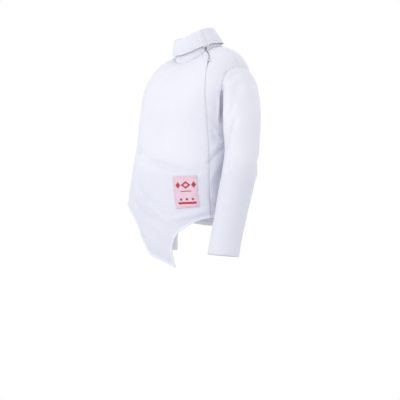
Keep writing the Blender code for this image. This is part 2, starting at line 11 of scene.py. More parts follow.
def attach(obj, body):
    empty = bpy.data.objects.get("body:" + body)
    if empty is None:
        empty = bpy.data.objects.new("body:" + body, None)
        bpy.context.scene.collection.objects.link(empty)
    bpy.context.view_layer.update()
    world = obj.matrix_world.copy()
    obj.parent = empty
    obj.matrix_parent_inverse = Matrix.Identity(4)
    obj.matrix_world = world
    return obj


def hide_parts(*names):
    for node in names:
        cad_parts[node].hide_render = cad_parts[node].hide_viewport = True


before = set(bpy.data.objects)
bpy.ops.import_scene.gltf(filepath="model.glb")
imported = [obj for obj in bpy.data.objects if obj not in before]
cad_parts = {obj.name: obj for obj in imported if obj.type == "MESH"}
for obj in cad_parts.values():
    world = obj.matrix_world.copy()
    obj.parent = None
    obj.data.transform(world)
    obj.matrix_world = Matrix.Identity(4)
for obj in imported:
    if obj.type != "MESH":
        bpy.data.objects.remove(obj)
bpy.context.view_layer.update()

# Studio
# The jacket hangs at the height of its wearer's shoulders over a wide pale floor, which fades into
# an even white surround, with a large soft light on the left, a weaker one in front and one behind.

CAMERA_TURN = 46.0
CAMERA_AWAY = 3.0
CAMERA_HEIGHT = -0.3375
CAMERA_LENS = 120.0
CAMERA_SENSOR = 36.0
CAMERA_REACH = 60.0
FLOOR_HEIGHT = -1.05
FLOOR_RADIUS = 9.0
FLOOR_SIDES = 96
FLOOR_FADE = (0.7, 1.5)
FLOOR_DARK = (0.86, 0.86, 0.86, 1.0)
FLOOR_PALE = (0.89, 0.89, 0.89, 1.0)
SURROUND = (1.0, 1.0, 1.0, 1.0)
# Each light: turn from the camera, rise over the horizon, distance, size, watts.
LIGHTS = {
    "soft_key": (-54.0, 24.0, 2.0, 1.4, 9.5),
    "soft_fill": (20.0, 22.0, 2.2, 1.4, 3.0),
    "soft_back": (150.0, 35.0, 3.0, 1.8, 10.0),
}


def round_the_jacket(turn, rise, distance):
    """Place at a turn from straight in front and a rise, seen from the jacket's middle."""
    a, e = math.radians(turn), math.radians(rise)
    way = Vector((math.sin(a) * math.cos(e), -math.cos(a) * math.cos(e), math.sin(e)))
    return Vector((0, 0, CAMERA_HEIGHT)) + way * distance


class Wire:
    """A socket of a node tree that sums are written with: each operator adds its Math node."""

    def __init__(self, tree, socket=None):
        self.tree = tree
        self.socket = socket

    def add(self, kind, settings=(), values=(), output=0):
        """Any node: its settings are set first, then the value or link of each of its sockets."""
        node = self.tree.nodes.new(kind)
        for name, value in dict(settings).items():
            if name == "stops":
                stops = node.color_ramp.elements
                while len(stops) < len(value):
                    stops.new(1.0)
                for stop, (place, colour) in zip(stops, value):
                    stop.position, stop.color = place, colour
            else:
                setattr(node, name, value)
        for name, value in dict(values).items():
            if isinstance(value, Wire):
                self.tree.links.new(value.socket, node.inputs[name])
            else:
                node.inputs[name].default_value = value
        return Wire(self.tree, node.outputs[output] if len(node.outputs) else None)

    def sum(self, operation, *terms):
        return self.add("ShaderNodeMath", {"operation": operation}, dict(enumerate(terms)))

    def __add__(self, other):
        return self.sum("ADD", self, other)

    def __sub__(self, other):
        return self.sum("SUBTRACT", self, other)

    def __rsub__(self, other):
        return self.sum("SUBTRACT", other, self)

    def __mul__(self, other):
        return self.sum("MULTIPLY", self, other)

    def __truediv__(self, other):
        return self.sum("DIVIDE", self, other)

    def __abs__(self):
        return self.sum("ABSOLUTE", self)

    def sine(self):
        return self.sum("SINE", self)

    def most(self, other):
        return self.sum("MAXIMUM", self, other)

    def fade(self, low, high, start=0.0, end=1.0):
        """Smooth step from start at low to end at high."""
        return self.add(
            "ShaderNodeMapRange",
            {"interpolation_type": "SMOOTHSTEP"},
            {0: self, 1: low, 2: high, 3: start, 4: end},
        )

    def tint(self, low, high):
        """Colour between two colours, with this as the share."""
        return self.add("ShaderNodeMix", {"data_type": "RGBA"}, {0: self, 6: low, 7: high}, 2)

    def coordinate(self, name):
        """X, Y and Z of the object's own coordinates, or of its UV map."""
        place = self.add("ShaderNodeTexCoord", output={"Object": 3, "UV": 2}[name])
        split = self.add("ShaderNodeSeparateXYZ", (), {0: place})
        return place, *(Wire(self.tree, socket) for socket in split.socket.node.outputs)

    def noise(self, place, scale, detail=2.0):
        return self.add("ShaderNodeTexNoise", (), {"Vector": place, "Scale": scale, "Detail": detail})

    def relief(self, distance, strength=1.0):
        """Normal of the surface with this as its height."""
        return self.add("ShaderNodeBump", (), {"Height": self, "Distance": distance, "Strength": strength})


def new_material(name):
    """Empty material, and the wire that its nodes start from."""
    material = bpy.data.materials.new(name)
    material.use_nodes = True
    material.node_tree.nodes.clear()
    return material, Wire(material.node_tree)


def finish_skin(start, values):
    """Ends a material: its surface, with the values and wires of its sockets, at the output."""
    start.add("ShaderNodeOutputMaterial", (), {"Surface": start.add("ShaderNodeBsdfPrincipled", (), values)})


def darker(colour, share):
    """The colour at a share of its strength."""
    return tuple(share * part for part in colour[:3]) + (1.0,)


bpy.context.scene.view_settings.view_transform = "Standard"

camera = bpy.data.objects.new("photo_camera", bpy.data.cameras.new("photo_camera"))
camera.data.sensor_width = CAMERA_SENSOR
camera.data.lens = CAMERA_LENS
camera.data.clip_end = CAMERA_REACH
camera.location = round_the_jacket(CAMERA_TURN, 0.0, CAMERA_AWAY)
camera.rotation_euler = (math.radians(90.0), 0.0, math.radians(CAMERA_TURN))
bpy.context.scene.collection.objects.link(camera)
bpy.context.scene.camera = camera

for light_name, (turn, rise, distance, size, watts) in LIGHTS.items():
    light = bpy.data.objects.new(light_name, bpy.data.lights.new(light_name, "AREA"))
    light.data.shape = "DISK"
    light.data.size = size
    light.data.energy = watts
    light.location = round_the_jacket(CAMERA_TURN + turn, rise, distance)
    toward = Vector((0, 0, CAMERA_HEIGHT)) - light.location
    light.rotation_euler = toward.to_track_quat("-Z", "Y").to_euler()
    bpy.context.scene.collection.objects.link(light)

surround = bpy.data.worlds.new("white_surround")
surround.use_nodes = True
surround.node_tree.nodes["Background"].inputs["Color"].default_value = SURROUND
bpy.context.scene.world = surround

floor_mesh = bpy.data.meshes.new("studio_floor")
floor_turns = [math.tau * i / FLOOR_SIDES for i in range(FLOOR_SIDES)]
floor_ring = [(FLOOR_RADIUS * math.cos(a), FLOOR_RADIUS * math.sin(a), FLOOR_HEIGHT) for a in floor_turns]
floor_mesh.from_pydata(floor_ring, [], [tuple(range(FLOOR_SIDES))])
studio_floor = bpy.data.objects.new("studio_floor", floor_mesh)
bpy.context.scene.collection.objects.link(studio_floor)
floor_paint, start = new_material("pale_floor")
place, x, y, _ = start.coordinate("Object")
away = start.sum("SQRT", x * x + y * y)
clouded = start.noise(place, 18.0).tint(FLOOR_DARK, FLOOR_PALE)
matt = start.add("ShaderNodeBsdfDiffuse", (), {"Color": clouded})
glow = start.add("ShaderNodeEmission", (), {"Color": SURROUND})
both = start.add("ShaderNodeMixShader", (), {0: away.fade(*FLOOR_FADE), 1: matt, 2: glow})
start.add("ShaderNodeOutputMaterial", (), {"Surface": both})
floor_mesh.materials.append(floor_paint)

# Front panel
# The right front and the left front in one piece of white drill, from the neck seam down to the groin
# tail and the high-cut leg openings. Its edge beside the zip is turned under and topstitched, and its
# hem is turned up and stitched into a soft raised rim, which is also painted whiter as a highlight.

CLOTH_WALL = 0.0019
PLACKET_WIDTH = 0.009
PLACKET_LIFT = 0.0009
# Where the zip is shut, its front edge is rounded down onto the side-front: place, drop, distance.
ZIP_SHUT = (0.60, 1.05)
EDGE_DROP = 0.0009
EDGE_ROUND = 0.0055
YOKE_BOTTOM_Z = -0.145
BODY_SPAN = 0.355
# Steps between which a surface's slope is taken: degrees, height parameter.
NORMAL_STEPS = (0.5, 0.01)

# Neck seam and collar rings: angle from the front centre, neck z, fold z, fall edge z.
RINGS = (
    (-180, 0.008, 0.045, 0.0145),
    (-135, 0.003, 0.038, 0.0085),
    (-90, -0.007, 0.0265, -0.0005),
    (-68, -0.014, 0.0225, -0.0070),
    (-46, -0.022, 0.0190, -0.0140),
    (-25, -0.030, 0.0165, -0.0170),
    (0, -0.034, 0.0175, -0.0170),
    (25, -0.029, 0.0235, -0.0115),
    (46, -0.019, 0.0310, -0.0030),
    (68, -0.007, 0.0380, 0.0055),
    (90, 0.003, 0.0430, 0.0110),
    (135, 0.008, 0.0450, 0.0145),
    (180, 0.008, 0.0450, 0.0145),
)
NECK_COLUMN, FOLD_COLUMN, FALL_COLUMN = 1, 2, 3

# The neck ring: half width, half depth, centre y.
NECK_RING = (0.052, 0.052, -0.005)

# Torso sections: depth below the neck base, half width, front y, middle y, back y, squareness.
SECTIONS = (
    (0.145, 0.131, -0.125, 0.006, 0.092, 2.4),
    (0.200, 0.129, -0.130, -0.014, 0.080, 2.4),
    (0.250, 0.130, -0.139, -0.028, 0.069, 2.4),
    (0.300, 0.132, -0.147, -0.039, 0.064, 2.4),
    (0.350, 0.137, -0.151, -0.044, 0.066, 2.4),
    (0.400, 0.139, -0.145, -0.045, 0.070, 2.4),
    (0.450, 0.137, -0.130, -0.044, 0.068, 2.4),
    (0.500, 0.130, -0.112, -0.040, 0.060, 2.4),
)

# Yoke curve from neck to chest: straight share and roundness, at the front, side and back.
YOKE_FRONT = (0.62, 2.0)
YOKE_SIDE = (0.11, 3.2)
YOKE_BACK = (0.25, 2.4)

# How the yoke eases into the body: reach in the height parameter, where it begins and ends, and the
# shift and share of each part.
YOKE_EASE = 0.12
YOKE_EASE_BEGINS = (0.35, 0.80)
YOKE_EASE_ENDS = (1.15, 1.50)
YOKE_EASING = ((-1.0, 0.17), (-0.5, 0.21), (0.0, 0.24), (0.5, 0.21), (1.0, 0.17))

# Zip line: height parameter, angle from the front centre.
ZIP_LINE = (
    (0.00, 66.0),
    (0.19, 60.5),
    (0.41, 53.0),
    (0.64, 49.7),
    (0.82, 49.0),
    (0.985, 51.2),
    (1.08, 53.8),
    (1.19, 58.0),
    (1.348, 63.5),
    (1.504, 66.0),
    (1.634, 67.0),
)

# Place of the front's zip edge: height parameter, distance short of the zip line. Below the open
# top it laps a little over the side-front's edge.
FRONT_ZIP_EDGE = (
    (0.00, 0.0013),
    (0.11, 0.0016),
    (0.19, 0.0026),
    (0.26, 0.0015),
    (0.36, -0.0002),
    (0.46, -0.0012),
    (2.00, -0.0014),
)

# Hem of the front, wearer's right to left: angle from the front centre, height.
FRONT_HEM = (
    (-90.0, -0.353),
    (-68.0, -0.350),
    (-47.0, -0.350),
    (-35.0, -0.357),
    (-26.0, -0.369),
    (-19.0, -0.385),
    (-15.0, -0.401),
    (-12.0, -0.427),
    (-10.0, -0.445),
    (-7.0, -0.4570),
    (0.0, -0.4665),
    (9.0, -0.477),
    (15.6, -0.483),
    (15.0, -0.474),
    (15.2, -0.4565),
    (17.9, -0.435),
    (23.3, -0.4165),
    (33.0, -0.400),
    (44.0, -0.388),
    (57.5, -0.379),
    (67.0, -0.376),
)

# Armhole: middle and half height in the height parameter, widths to front and back in degrees.
ARMHOLE_MIDDLE = 0.805
ARMHOLE_HALF_HEIGHT = 0.225
ARMHOLE_FRONT_WIDTH = 21.0
ARMHOLE_BACK_WIDTH = 26.0
ARMHOLE_RISE_INSET = 0.0048
ARMHOLE_TURN_INSET = 0.6

# Metres for a degree round the torso, and how far a fold runs past its middle.
FOLD_SCALE = 0.0022
FOLD_REACH = 0.85

# Body folds: start angle, start z, end angle, end z, half width, height, lean, bow. Lean makes the
# side above the fold steeper, and bow bends its line.
BODY_FOLDS = (
    (-44, -0.223, -20, -0.230, 0.0065, -0.0060, -0.50, 0.0),
    (-24, -0.222, -5, -0.253, 0.0095, -0.0034, -0.25, 0.002),
    (-8, -0.251, 30, -0.273, 0.0064, -0.0062, -0.45, 0.002),
    (24, -0.272, 54, -0.283, 0.0068, -0.0032, -0.4, 0.0),
    (-24, -0.190, 24, -0.246, 0.0150, 0.0016, 0.0, 0.0),
    (-30, -0.252, 20, -0.300, 0.016, 0.0007, 0.0, 0.0),
    (-29, -0.300, 1, -0.354, 0.0065, 0.0019, 0.3, 0.003),
    (1, -0.352, 20, -0.391, 0.0065, 0.0018, 0.2, 0.0),
    (-24, -0.290, 2, -0.341, 0.0060, -0.0018, 0.0, 0.002),
    (-34, -0.318, 10, -0.392, 0.0075, -0.0022, 0.0, 0.004),
    (-8, -0.330, 16, -0.372, 0.0060, -0.0015, 0.0, 0.0),
    (-2, -0.400, 12, -0.440, 0.0080, -0.0016, 0.0, 0.0),
    (56, -0.160, 65, -0.175, 0.0050, -0.0014, 0.0, 0.0),
    (61, -0.186, 68, -0.207, 0.0050, -0.0018, 0.3, 0.0),
    (57, -0.201, 72, -0.190, 0.0050, 0.0010, 0.0, 0.0),
    (78, -0.226, 61, -0.262, 0.0065, -0.0026, 0.0, 0.0),
    (82, -0.205, 62, -0.232, 0.0070, 0.0016, 0.0, 0.0),
    (74, -0.262, 66, -0.300, 0.0070, 0.0014, 0.0, 0.0),
    (86, -0.250, 74, -0.310, 0.0080, -0.0020, 0.0, 0.0),
    (64, -0.322, 76, -0.350, 0.0060, -0.0012, 0.0, 0.0),
    (68.4, -0.112, 70.4, -0.166, 0.0040, -0.0120, 0.0, 0.0),
    (64.6, -0.116, 66.0, -0.168, 0.0042, 0.0026, 0.0, 0.0),
    (72, -0.080, 69, -0.116, 0.0050, -0.0040, 0.0, 0.0),
    (75.5, -0.060, 70.5, -0.100, 0.0034, -0.0028, 0.0, 0.0),
    (20, -0.379, 60, -0.362, 0.0075, 0.0034, -0.3, 0.0),
    (26, -0.366, 60, -0.350, 0.0060, -0.0024, 0.0, 0.0),
    (30, -0.394, 62, -0.376, 0.0050, -0.0018, 0.0, 0.0),
    (-16, -0.112, -60, -0.146, 0.014, -0.0016, 0.0, 0.0),
    (-48, -0.150, -74, -0.215, 0.010, -0.0026, 0.2, 0.0),
    (-84, -0.240, -54, -0.262, 0.008, -0.0022, 0.3, 0.002),
    (-80, -0.300, -50, -0.322, 0.009, 0.0020, 0.0, 0.0),
    (58, -0.056, 84, -0.062, 0.010, -0.0010, 0.0, 0.0),
    (-54, -0.060, -80, -0.075, 0.010, -0.0014, 0.0, 0.0),
    (118, -0.230, 200, -0.252, 0.0088, -0.0050, -0.40, 0.004),
    (158, -0.206, 250, -0.226, 0.0110, 0.0036, 0.0, -0.003),
    (214, -0.244, 262, -0.262, 0.0072, -0.0042, -0.35, 0.0),
    (150, -0.300, 215, -0.330, 0.0080, -0.0040, 0.35, 0.003),
    (120, -0.330, 165, -0.360, 0.0080, 0.0032, 0.0, 0.0),
    (106, -0.386, 152, -0.396, 0.0130, -0.0042, 0.0, 0.0),
    (104, -0.282, 140, -0.310, 0.0065, -0.0036, -0.2, 0.0),
    (200, -0.120, 240, -0.165, 0.0100, -0.0042, 0.25, 0.002),
    (128, -0.120, 160, -0.160, 0.0100, -0.0038, 0.25, -0.002),
    (232, -0.350, 262, -0.330, 0.0065, -0.0030, 0.0, 0.0),
    (250, -0.270, 300, -0.246, 0.0080, -0.0036, -0.2, 0.0),
    (172, -0.060, 190, -0.100, 0.014, -0.0014, 0.0, 0.0),
)

FRONT_COLUMNS = 150
# Grid rows above the armhole, beside it and below it.
PANEL_ROWS = (44, 60, 108)
# How fast the armhole's curve dies out across a panel.
FRONT_FOLLOW = 3.0
# Grid columns gather over the tail: share of the columns, share of the width. Low down they turn to
# their places on the hem.
FRONT_SPREAD = ((0.0, 0.0), (0.40, 0.49), (0.66, 0.57), (1.0, 1.0))
HEM_TURN = 4.0

HEM_DEPTH = 0.0058
HEM_RISE = 0.0015
# Inner edge of a turned hem, before and past its thread, and the groove at the thread: depth, half width.
HEM_SLOPE = (0.0015, 0.0020)
HEM_GROOVE = (0.00045, 0.0013)
# Puckers along a hem's thread and along a seam: height or share of the depth, and half width.
HEM_PUCKER = (0.00028, 0.0045)
SEAM_PUCKER = (0.40, 0.0075)
# Uneven waves of the puckers: length, drift, length of the drift.
HEM_WAVES = (0.0085, 2.0, 0.047)
SEAM_WAVES = (0.0105, 1.7, 0.061)
SEAM_DEPTH = 0.0007
SEAM_REACH = 0.0022
NECK_DEPTH = 0.0001
# Shoulder seams lie flatter than side seams: their share of the depth, and where it changes.
SHOULDER_SHARE = 0.1
SHOULDER_END = (0.58, 0.66)
TOPSTITCH_IN = 0.0078

# Colours of the drill, pale and clouded, the clouded one also giving the painted shade low down; how much
# greyer its seams are, and how much whiter the painted highlight on its hems is.
DRILL_LIGHT = (0.704, 0.711, 0.782, 1.0)
DRILL_CLOUDED_AND_SHADED = (0.642, 0.652, 0.738, 1.0)
SEAM_GREY = 0.90
HEM_PAINTED_HIGHLIGHT = 1.10
# Painted shade: the drill's colour darkens low on the jacket: heights of the change, and its share.
SHADE_PAINTED_BELOW = (-0.300, -0.235)
SHADE_PAINTED_SHARE = 0.72
WEAVE = 0.0009
THREAD_WHITE = (0.74, 0.75, 0.81, 1.0)
THREAD_TWIST = 0.0004

STITCH_PITCH = 0.0030
STITCH_LENGTH = 0.0024
THREAD_WIDTH = 0.00055
THREAD_HEIGHT = 0.00045
# Distance between the places that an edge is measured at.
EDGE_STEP = 0.0006


def along(table, x, column=1):
    """Smooth value of a table column at x, through every row, with no overshoot past its neighbours."""
    xs = np.array([row[0] for row in table], float)
    ys = np.array([row[column] for row in table], float)
    slopes = np.diff(ys) / np.diff(xs)
    before, after = slopes[:-1], slopes[1:]
    agree = before * after > 0
    middle = np.where(agree, 2 * before * after / np.where(agree, before + after, 1.0), 0.0)
    tangents = np.concatenate((slopes[:1], middle, slopes[-1:]))
    x = np.clip(x, xs[0], xs[-1])
    i = np.clip(np.searchsorted(xs, x, side="right") - 1, 0, len(xs) - 2)
    span = xs[i + 1] - xs[i]
    t = (x - xs[i]) / span
    return (
        ys[i] * (1 + 2 * t) * (1 - t) ** 2
        + tangents[i] * span * t * (1 - t) ** 2
        + ys[i + 1] * t * t * (3 - 2 * t)
        + tangents[i + 1] * span * t * t * (t - 1)
    )


def smooth_step(x, low, high):
    t = np.clip((x - low) / (high - low), 0.0, 1.0)
    return t * t * (3.0 - 2.0 * t)


def bump(x, middle, half_width):
    """Soft bump of height one."""
    return np.exp(-(((x - middle) / half_width) ** 2))


def waves(run, length, drift, drift_length):
    """Uneven waves along a sewn line."""
    return np.sin(run * math.tau / length + drift * np.sin(run * math.tau / drift_length))


def wrapped(degrees):
    return (degrees + 180.0) % 360.0 - 180.0


def unit(vectors):
    return vectors / np.linalg.norm(vectors, axis=-1, keepdims=True)


def ring_point(ring, column, degrees):
    """Point of a collar ring at an angle from the front centre."""
    half_width, half_depth, centre = ring
    angle = np.radians(degrees)
    height = along(RINGS, wrapped(degrees), column)
    return np.stack((half_width * np.sin(angle), centre - half_depth * np.cos(angle), height), -1)


def section_point(degrees, z):
    """Point of the torso's level section at z."""
    half_width, front, middle, back, squareness = (along(SECTIONS, -z, k) for k in range(1, 6))
    angle = np.radians(degrees)
    s, c = np.sin(angle), np.cos(angle)
    power = 2.0 / squareness
    depth = np.where(c > 0, middle - front, back - middle)
    x = half_width * np.sign(s) * np.abs(s) ** power
    y = middle - depth * np.sign(c) * np.abs(c) ** power
    return np.stack((x, y, z + 0.0 * x), -1)


def height_of(v):
    return YOKE_BOTTOM_Z - (v - 1.0) * BODY_SPAN


def parameter_of(z):
    return 1.0 + (YOKE_BOTTOM_Z - z) / BODY_SPAN


def yoke_and_body(degrees, v):
    """Yoke over body: v is 0 at the neck seam, 1 at the yoke's bottom, and then follows z."""
    degrees, v = np.broadcast_arrays(np.asarray(degrees, float), np.asarray(v, float))
    body = section_point(degrees, height_of(np.maximum(v, 1.0)))
    neck = ring_point(NECK_RING, NECK_COLUMN, degrees)
    chest = section_point(degrees, np.full_like(v, YOKE_BOTTOM_Z))
    c = np.cos(np.radians(degrees))
    straight, roundness = (
        side + (np.where(c > 0, front, back) - side) * c * c
        for side, front, back in zip(YOKE_SIDE, YOKE_FRONT, YOKE_BACK)
    )
    turn = 0.5 * math.pi * np.clip(v, 0.0, 1.0)
    out = np.sin(turn) ** (2.0 / roundness)
    rest = np.maximum(np.cos(turn), 0.0) ** (2.0 / roundness)
    drop = straight * out + (1.0 - straight) * (1.0 - rest)
    yoke = neck + (chest - neck) * out[..., None]
    yoke[..., 2] = neck[..., 2] + (chest[..., 2] - neck[..., 2]) * drop
    return np.where((v >= 1.0)[..., None], body, yoke)


def bare_point(degrees, v):
    """Torso with no folds, its yoke and body eased into each other."""
    ease = YOKE_EASE * smooth_step(v, *YOKE_EASE_BEGINS) * (1.0 - smooth_step(v, *YOKE_EASE_ENDS))
    return sum(share * yoke_and_body(degrees, v + shift * ease) for shift, share in YOKE_EASING)


def surface_normal(surface, a, b, step_a, step_b):
    """Unit normal of a surface function, by central differences."""
    across = surface(a + step_a, b) - surface(a - step_a, b)
    down = surface(a, b + step_b) - surface(a, b - step_b)
    return unit(np.cross(down, across))


def torso_normal(degrees, v):
    return surface_normal(bare_point, degrees, np.maximum(v, 2 * NORMAL_STEPS[1]), *NORMAL_STEPS)


def fold_height(folds, across, z, scale):
    """Sum of the soft folds at a place: across is an angle in degrees, scale turns it into metres."""
    total = np.zeros(np.shape(z))
    for first, first_z, last, last_z, half_width, height, lean, bow in folds:
        for turn in (-360.0, 0.0, 360.0):
            dx, dz = (last - first) * scale, last_z - first_z
            length = math.hypot(dx, dz)
            px, pz = (across - first - turn) * scale, z - first_z
            t = (px * dx + pz * dz) / (length * length)
            aside = (px * dz - pz * dx) / length - bow * (1.0 - (2.0 * t - 1.0) ** 2)
            width = half_width * (1.0 + lean * np.tanh(aside / half_width))
            fade = np.exp(-((2.0 * t - 1.0) ** 4)) * (np.abs(t - 0.5) <= FOLD_REACH)
            total += height * fade * bump(aside, 0.0, width)
    return total


def zip_angle(v):
    return along(ZIP_LINE, v)


def metres_per_degree(degrees, v):
    return np.linalg.norm(bare_point(degrees + 0.5, v) - bare_point(degrees - 0.5, v), axis=-1)


def inset(degrees, v, distance):
    """Degrees that give a distance along the surface."""
    return distance / np.maximum(metres_per_degree(degrees, v), 1e-5)


def torso_point(degrees, v, lift=0.0, placket=False):
    """Torso surface with its folds, moved out by lift; the front also has its raised placket."""
    point = bare_point(degrees, v)
    height = lift + fold_height(BODY_FOLDS, degrees % 360.0, point[..., 2], FOLD_SCALE)
    if placket:
        angle = wrapped(degrees)
        from_zip = (zip_angle(v) - angle) * metres_per_degree(angle, v)
        rise = PLACKET_LIFT * np.exp(-((from_zip / PLACKET_WIDTH) ** 4))
        shut = smooth_step(v, *ZIP_SHUT)
        rise = rise - shut * EDGE_DROP * (1.0 - smooth_step(from_zip, 0.0, EDGE_ROUND))
        height = height + np.where(np.abs(from_zip) < 2.0 * PLACKET_WIDTH, rise, 0.0)
    return point + torso_normal(degrees, v) * np.asarray(height)[..., None]


def armhole_bulge(v, width):
    """Degrees that the armhole takes from a panel at a height parameter."""
    t = (v - ARMHOLE_MIDDLE) / ARMHOLE_HALF_HEIGHT
    return width * np.sqrt(np.maximum(1.0 - t * t, 0.0))


def hem_place(table, share):
    """Angle and height at a share of the hem's length."""
    places = np.array([(a * FOLD_SCALE, z) for a, z in table])
    lengths = np.concatenate(([0.0], np.cumsum(np.linalg.norm(np.diff(places, axis=0), axis=1))))
    return tuple(along([(s, row[k]) for s, row in zip(lengths, table)], share * lengths[-1]) for k in (0, 1))


def panel_grid(hem, left, right, left_bulge, right_bulge, columns, follow, spread=((0.0, 0.0), (1.0, 1.0))):
    """Angles and height parameters of a panel, from the neck seam to its hem; left and right give the
    straight edges in degrees, and the bulges are what the armhole takes from each."""
    over, middle, under = PANEL_ROWS
    top, bottom = ARMHOLE_MIDDLE - ARMHOLE_HALF_HEIGHT, ARMHOLE_MIDDLE + ARMHOLE_HALF_HEIGHT
    upper = np.linspace(0.0, top, over)
    around = ARMHOLE_MIDDLE - ARMHOLE_HALF_HEIGHT * np.cos(np.pi * np.arange(1, middle + 1) / middle)
    r = np.linspace(0.0, 1.0, columns)
    start = along(spread, r)

    v = np.repeat(np.concatenate((upper, around))[:, None], columns, 1)
    low, high = left(v), right(v)
    degrees = low + (high - low) * start
    degrees = degrees + armhole_bulge(v, left_bulge) * (1.0 - start) ** follow
    degrees = degrees - armhole_bulge(v, right_bulge) * start**follow

    angle, z = hem_place(hem, r)
    end = parameter_of(z)
    low, high = left(end), right(end)
    share = np.clip((angle - low) / (high - low), 0.0, 1.0)
    share[0], share[-1] = 0.0, 1.0
    s = (np.arange(1, under + 1) / under)[:, None]
    lower = bottom + (end - bottom) * s
    low, high = left(lower), right(lower)
    blend = start + (share - start) * s**HEM_TURN
    return np.concatenate((degrees, low + (high - low) * blend)), np.concatenate((v, lower))


def grid_normals(points, closed=False):
    """Outward unit normals of a grid whose rows run down and whose columns run to the wearer's left."""
    if closed:
        across = np.roll(points, -1, 1) - np.roll(points, 1, 1)
    else:
        across = np.gradient(points, axis=1)
    return unit(np.cross(np.gradient(points, axis=0), across))


def beside(line, points):
    """Distance of each point from a line of points, and how far along the line its nearest place is."""
    steps = np.linalg.norm(np.diff(line, axis=0), axis=1)
    run = np.concatenate(([0.0], np.cumsum(steps)))
    fine = np.linspace(0.0, run[-1], max(int(run[-1] / EDGE_STEP), 8))
    dense = np.stack([np.interp(fine, run, line[:, k]) for k in range(3)], -1)
    tree = KDTree(len(dense))
    for i, place in enumerate(dense):
        tree.insert(place, i)
    tree.balance()
    found = [tree.find(place)[1:] for place in points.reshape(-1, 3)]
    index = np.array([f[0] for f in found]).reshape(points.shape[:-1])
    distance = np.array([f[1] for f in found]).reshape(points.shape[:-1])
    return distance, fine[index]


def turned_hem(distance, run, depth, rise):
    """Height of a turned and stitched edge: a raised rim, a groove at the thread and small puckers."""
    rim = rise * (1.0 - smooth_step(distance, depth - HEM_SLOPE[0], depth + HEM_SLOPE[1]))
    groove = HEM_GROOVE[0] * bump(distance, depth, HEM_GROOVE[1])
    pucker = HEM_PUCKER[0] * waves(run, *HEM_WAVES) * bump(distance, depth, HEM_PUCKER[1])
    return rim - groove + pucker


def sewn_seam(distance, run, depth):
    """Height beside a plain seam: it sinks to the seam, with small puckers along it."""
    pucker = SEAM_PUCKER[0] * waves(run, *SEAM_WAVES) * bump(distance, 0.0, SEAM_PUCKER[1])
    return depth * (pucker - np.exp(-distance / SEAM_REACH))


def seam_share(v):
    """How strongly the seam down a panel's side shows: little over the shoulder, fully down the body."""
    return SHOULDER_SHARE + (1.0 - SHOULDER_SHARE) * smooth_step(v, *SHOULDER_END)


def sewn_edges(panel, v, seams):
    """Relief of a panel's neck seam, turned hem and side seams, which are in the columns given, and its
    distances from the nearest side seam and from the hem."""
    neck_distance, neck_run = beside(panel[0], panel)
    hem_distance, hem_run = beside(panel[-1], panel)
    relief = sewn_seam(neck_distance, neck_run, NECK_DEPTH)
    relief += turned_hem(hem_distance, hem_run, HEM_DEPTH, HEM_RISE)
    nearest = np.full(v.shape, np.inf)
    for column in seams:
        distance, run = beside(panel[:, column], panel)
        relief += sewn_seam(distance, run, SEAM_DEPTH * seam_share(v))
        nearest = np.minimum(nearest, distance)
    return relief, nearest / seam_share(v), hem_distance


def cloth_shell(name, points, material, wall=CLOTH_WALL, closed=False, edge=None, hem=None):
    """Named sheet from a grid of points, thickened inwards, with a UV map in metres of cloth and the
    distances from its nearest seam and its hem."""
    rows, columns = points.shape[:2]
    i, j = np.meshgrid(np.arange(rows - 1), np.arange(columns if closed else columns - 1), indexing="ij")
    k = (j + 1) % columns
    faces = np.stack((i * columns + j, (i + 1) * columns + j, (i + 1) * columns + k, i * columns + k), -1)
    mesh = bpy.data.meshes.new(name)
    mesh.from_pydata(points.reshape(-1, 3).tolist(), [], faces.reshape(-1, 4).tolist())
    mesh.polygons.foreach_set("use_smooth", np.ones(len(mesh.polygons), bool))
    across = np.linalg.norm(np.diff(points, axis=1), axis=2)
    across = np.concatenate((np.zeros((rows, 1)), np.cumsum(across, 1)), 1)
    across = across - across[:, columns // 2][:, None]
    down = np.linalg.norm(np.diff(points, axis=0), axis=2)
    down = np.concatenate((np.zeros((1, columns)), np.cumsum(down, 0)), 0)
    cut = np.stack((across, -down), -1).reshape(-1, 2)
    corners = np.empty(len(mesh.loops), np.int32)
    mesh.loops.foreach_get("vertex_index", corners)
    layer = mesh.uv_layers.new(name="cloth")
    layer.data.foreach_set("uv", cut[corners].reshape(-1))
    for label, distance in (("edge", edge), ("hem", hem)):
        values = np.ones((rows, columns)) if distance is None else distance
        mesh.attributes.new(label, "FLOAT", "POINT").data.foreach_set("value", np.reshape(values, -1))
    mesh.materials.append(material)
    obj = bpy.data.objects.new(name, mesh)
    bpy.context.scene.collection.objects.link(obj)
    solid = obj.modifiers.new("Cloth", "SOLIDIFY")
    solid.thickness = wall
    solid.offset = -1.0
    solid.use_even_offset = False
    return obj


def contour(points, field, level):
    """Mesh of the line where a grid's field crosses a level, with the way out of the cloth at each point."""
    normals = grid_normals(points)
    rows, columns = field.shape
    above = field > level
    places, ways, found = [], [], {}

    def crossing(a, b):
        if above[a] == above[b]:
            return None
        if (a, b) not in found:
            t = (level - field[a]) / (field[b] - field[a])
            found[a, b] = len(places)
            places.append(points[a] + (points[b] - points[a]) * t)
            ways.append(unit(normals[a] + (normals[b] - normals[a]) * t))
        return found[a, b]

    mixed = above[:-1, :-1] + 0 + above[1:, :-1] + above[:-1, 1:] + above[1:, 1:]
    edges = []
    for i, j in zip(*np.nonzero((mixed > 0) & (mixed < 4))):
        corners = ((i, j), (i, j + 1), (i + 1, j), (i + 1, j + 1))
        sides = ((0, 1), (2, 3), (0, 2), (1, 3))
        ends = [crossing(corners[a], corners[b]) for a, b in sides]
        ends = [e for e in ends if e is not None]
        if len(ends) == 2:
            edges.append(ends)
    return places, edges, ways


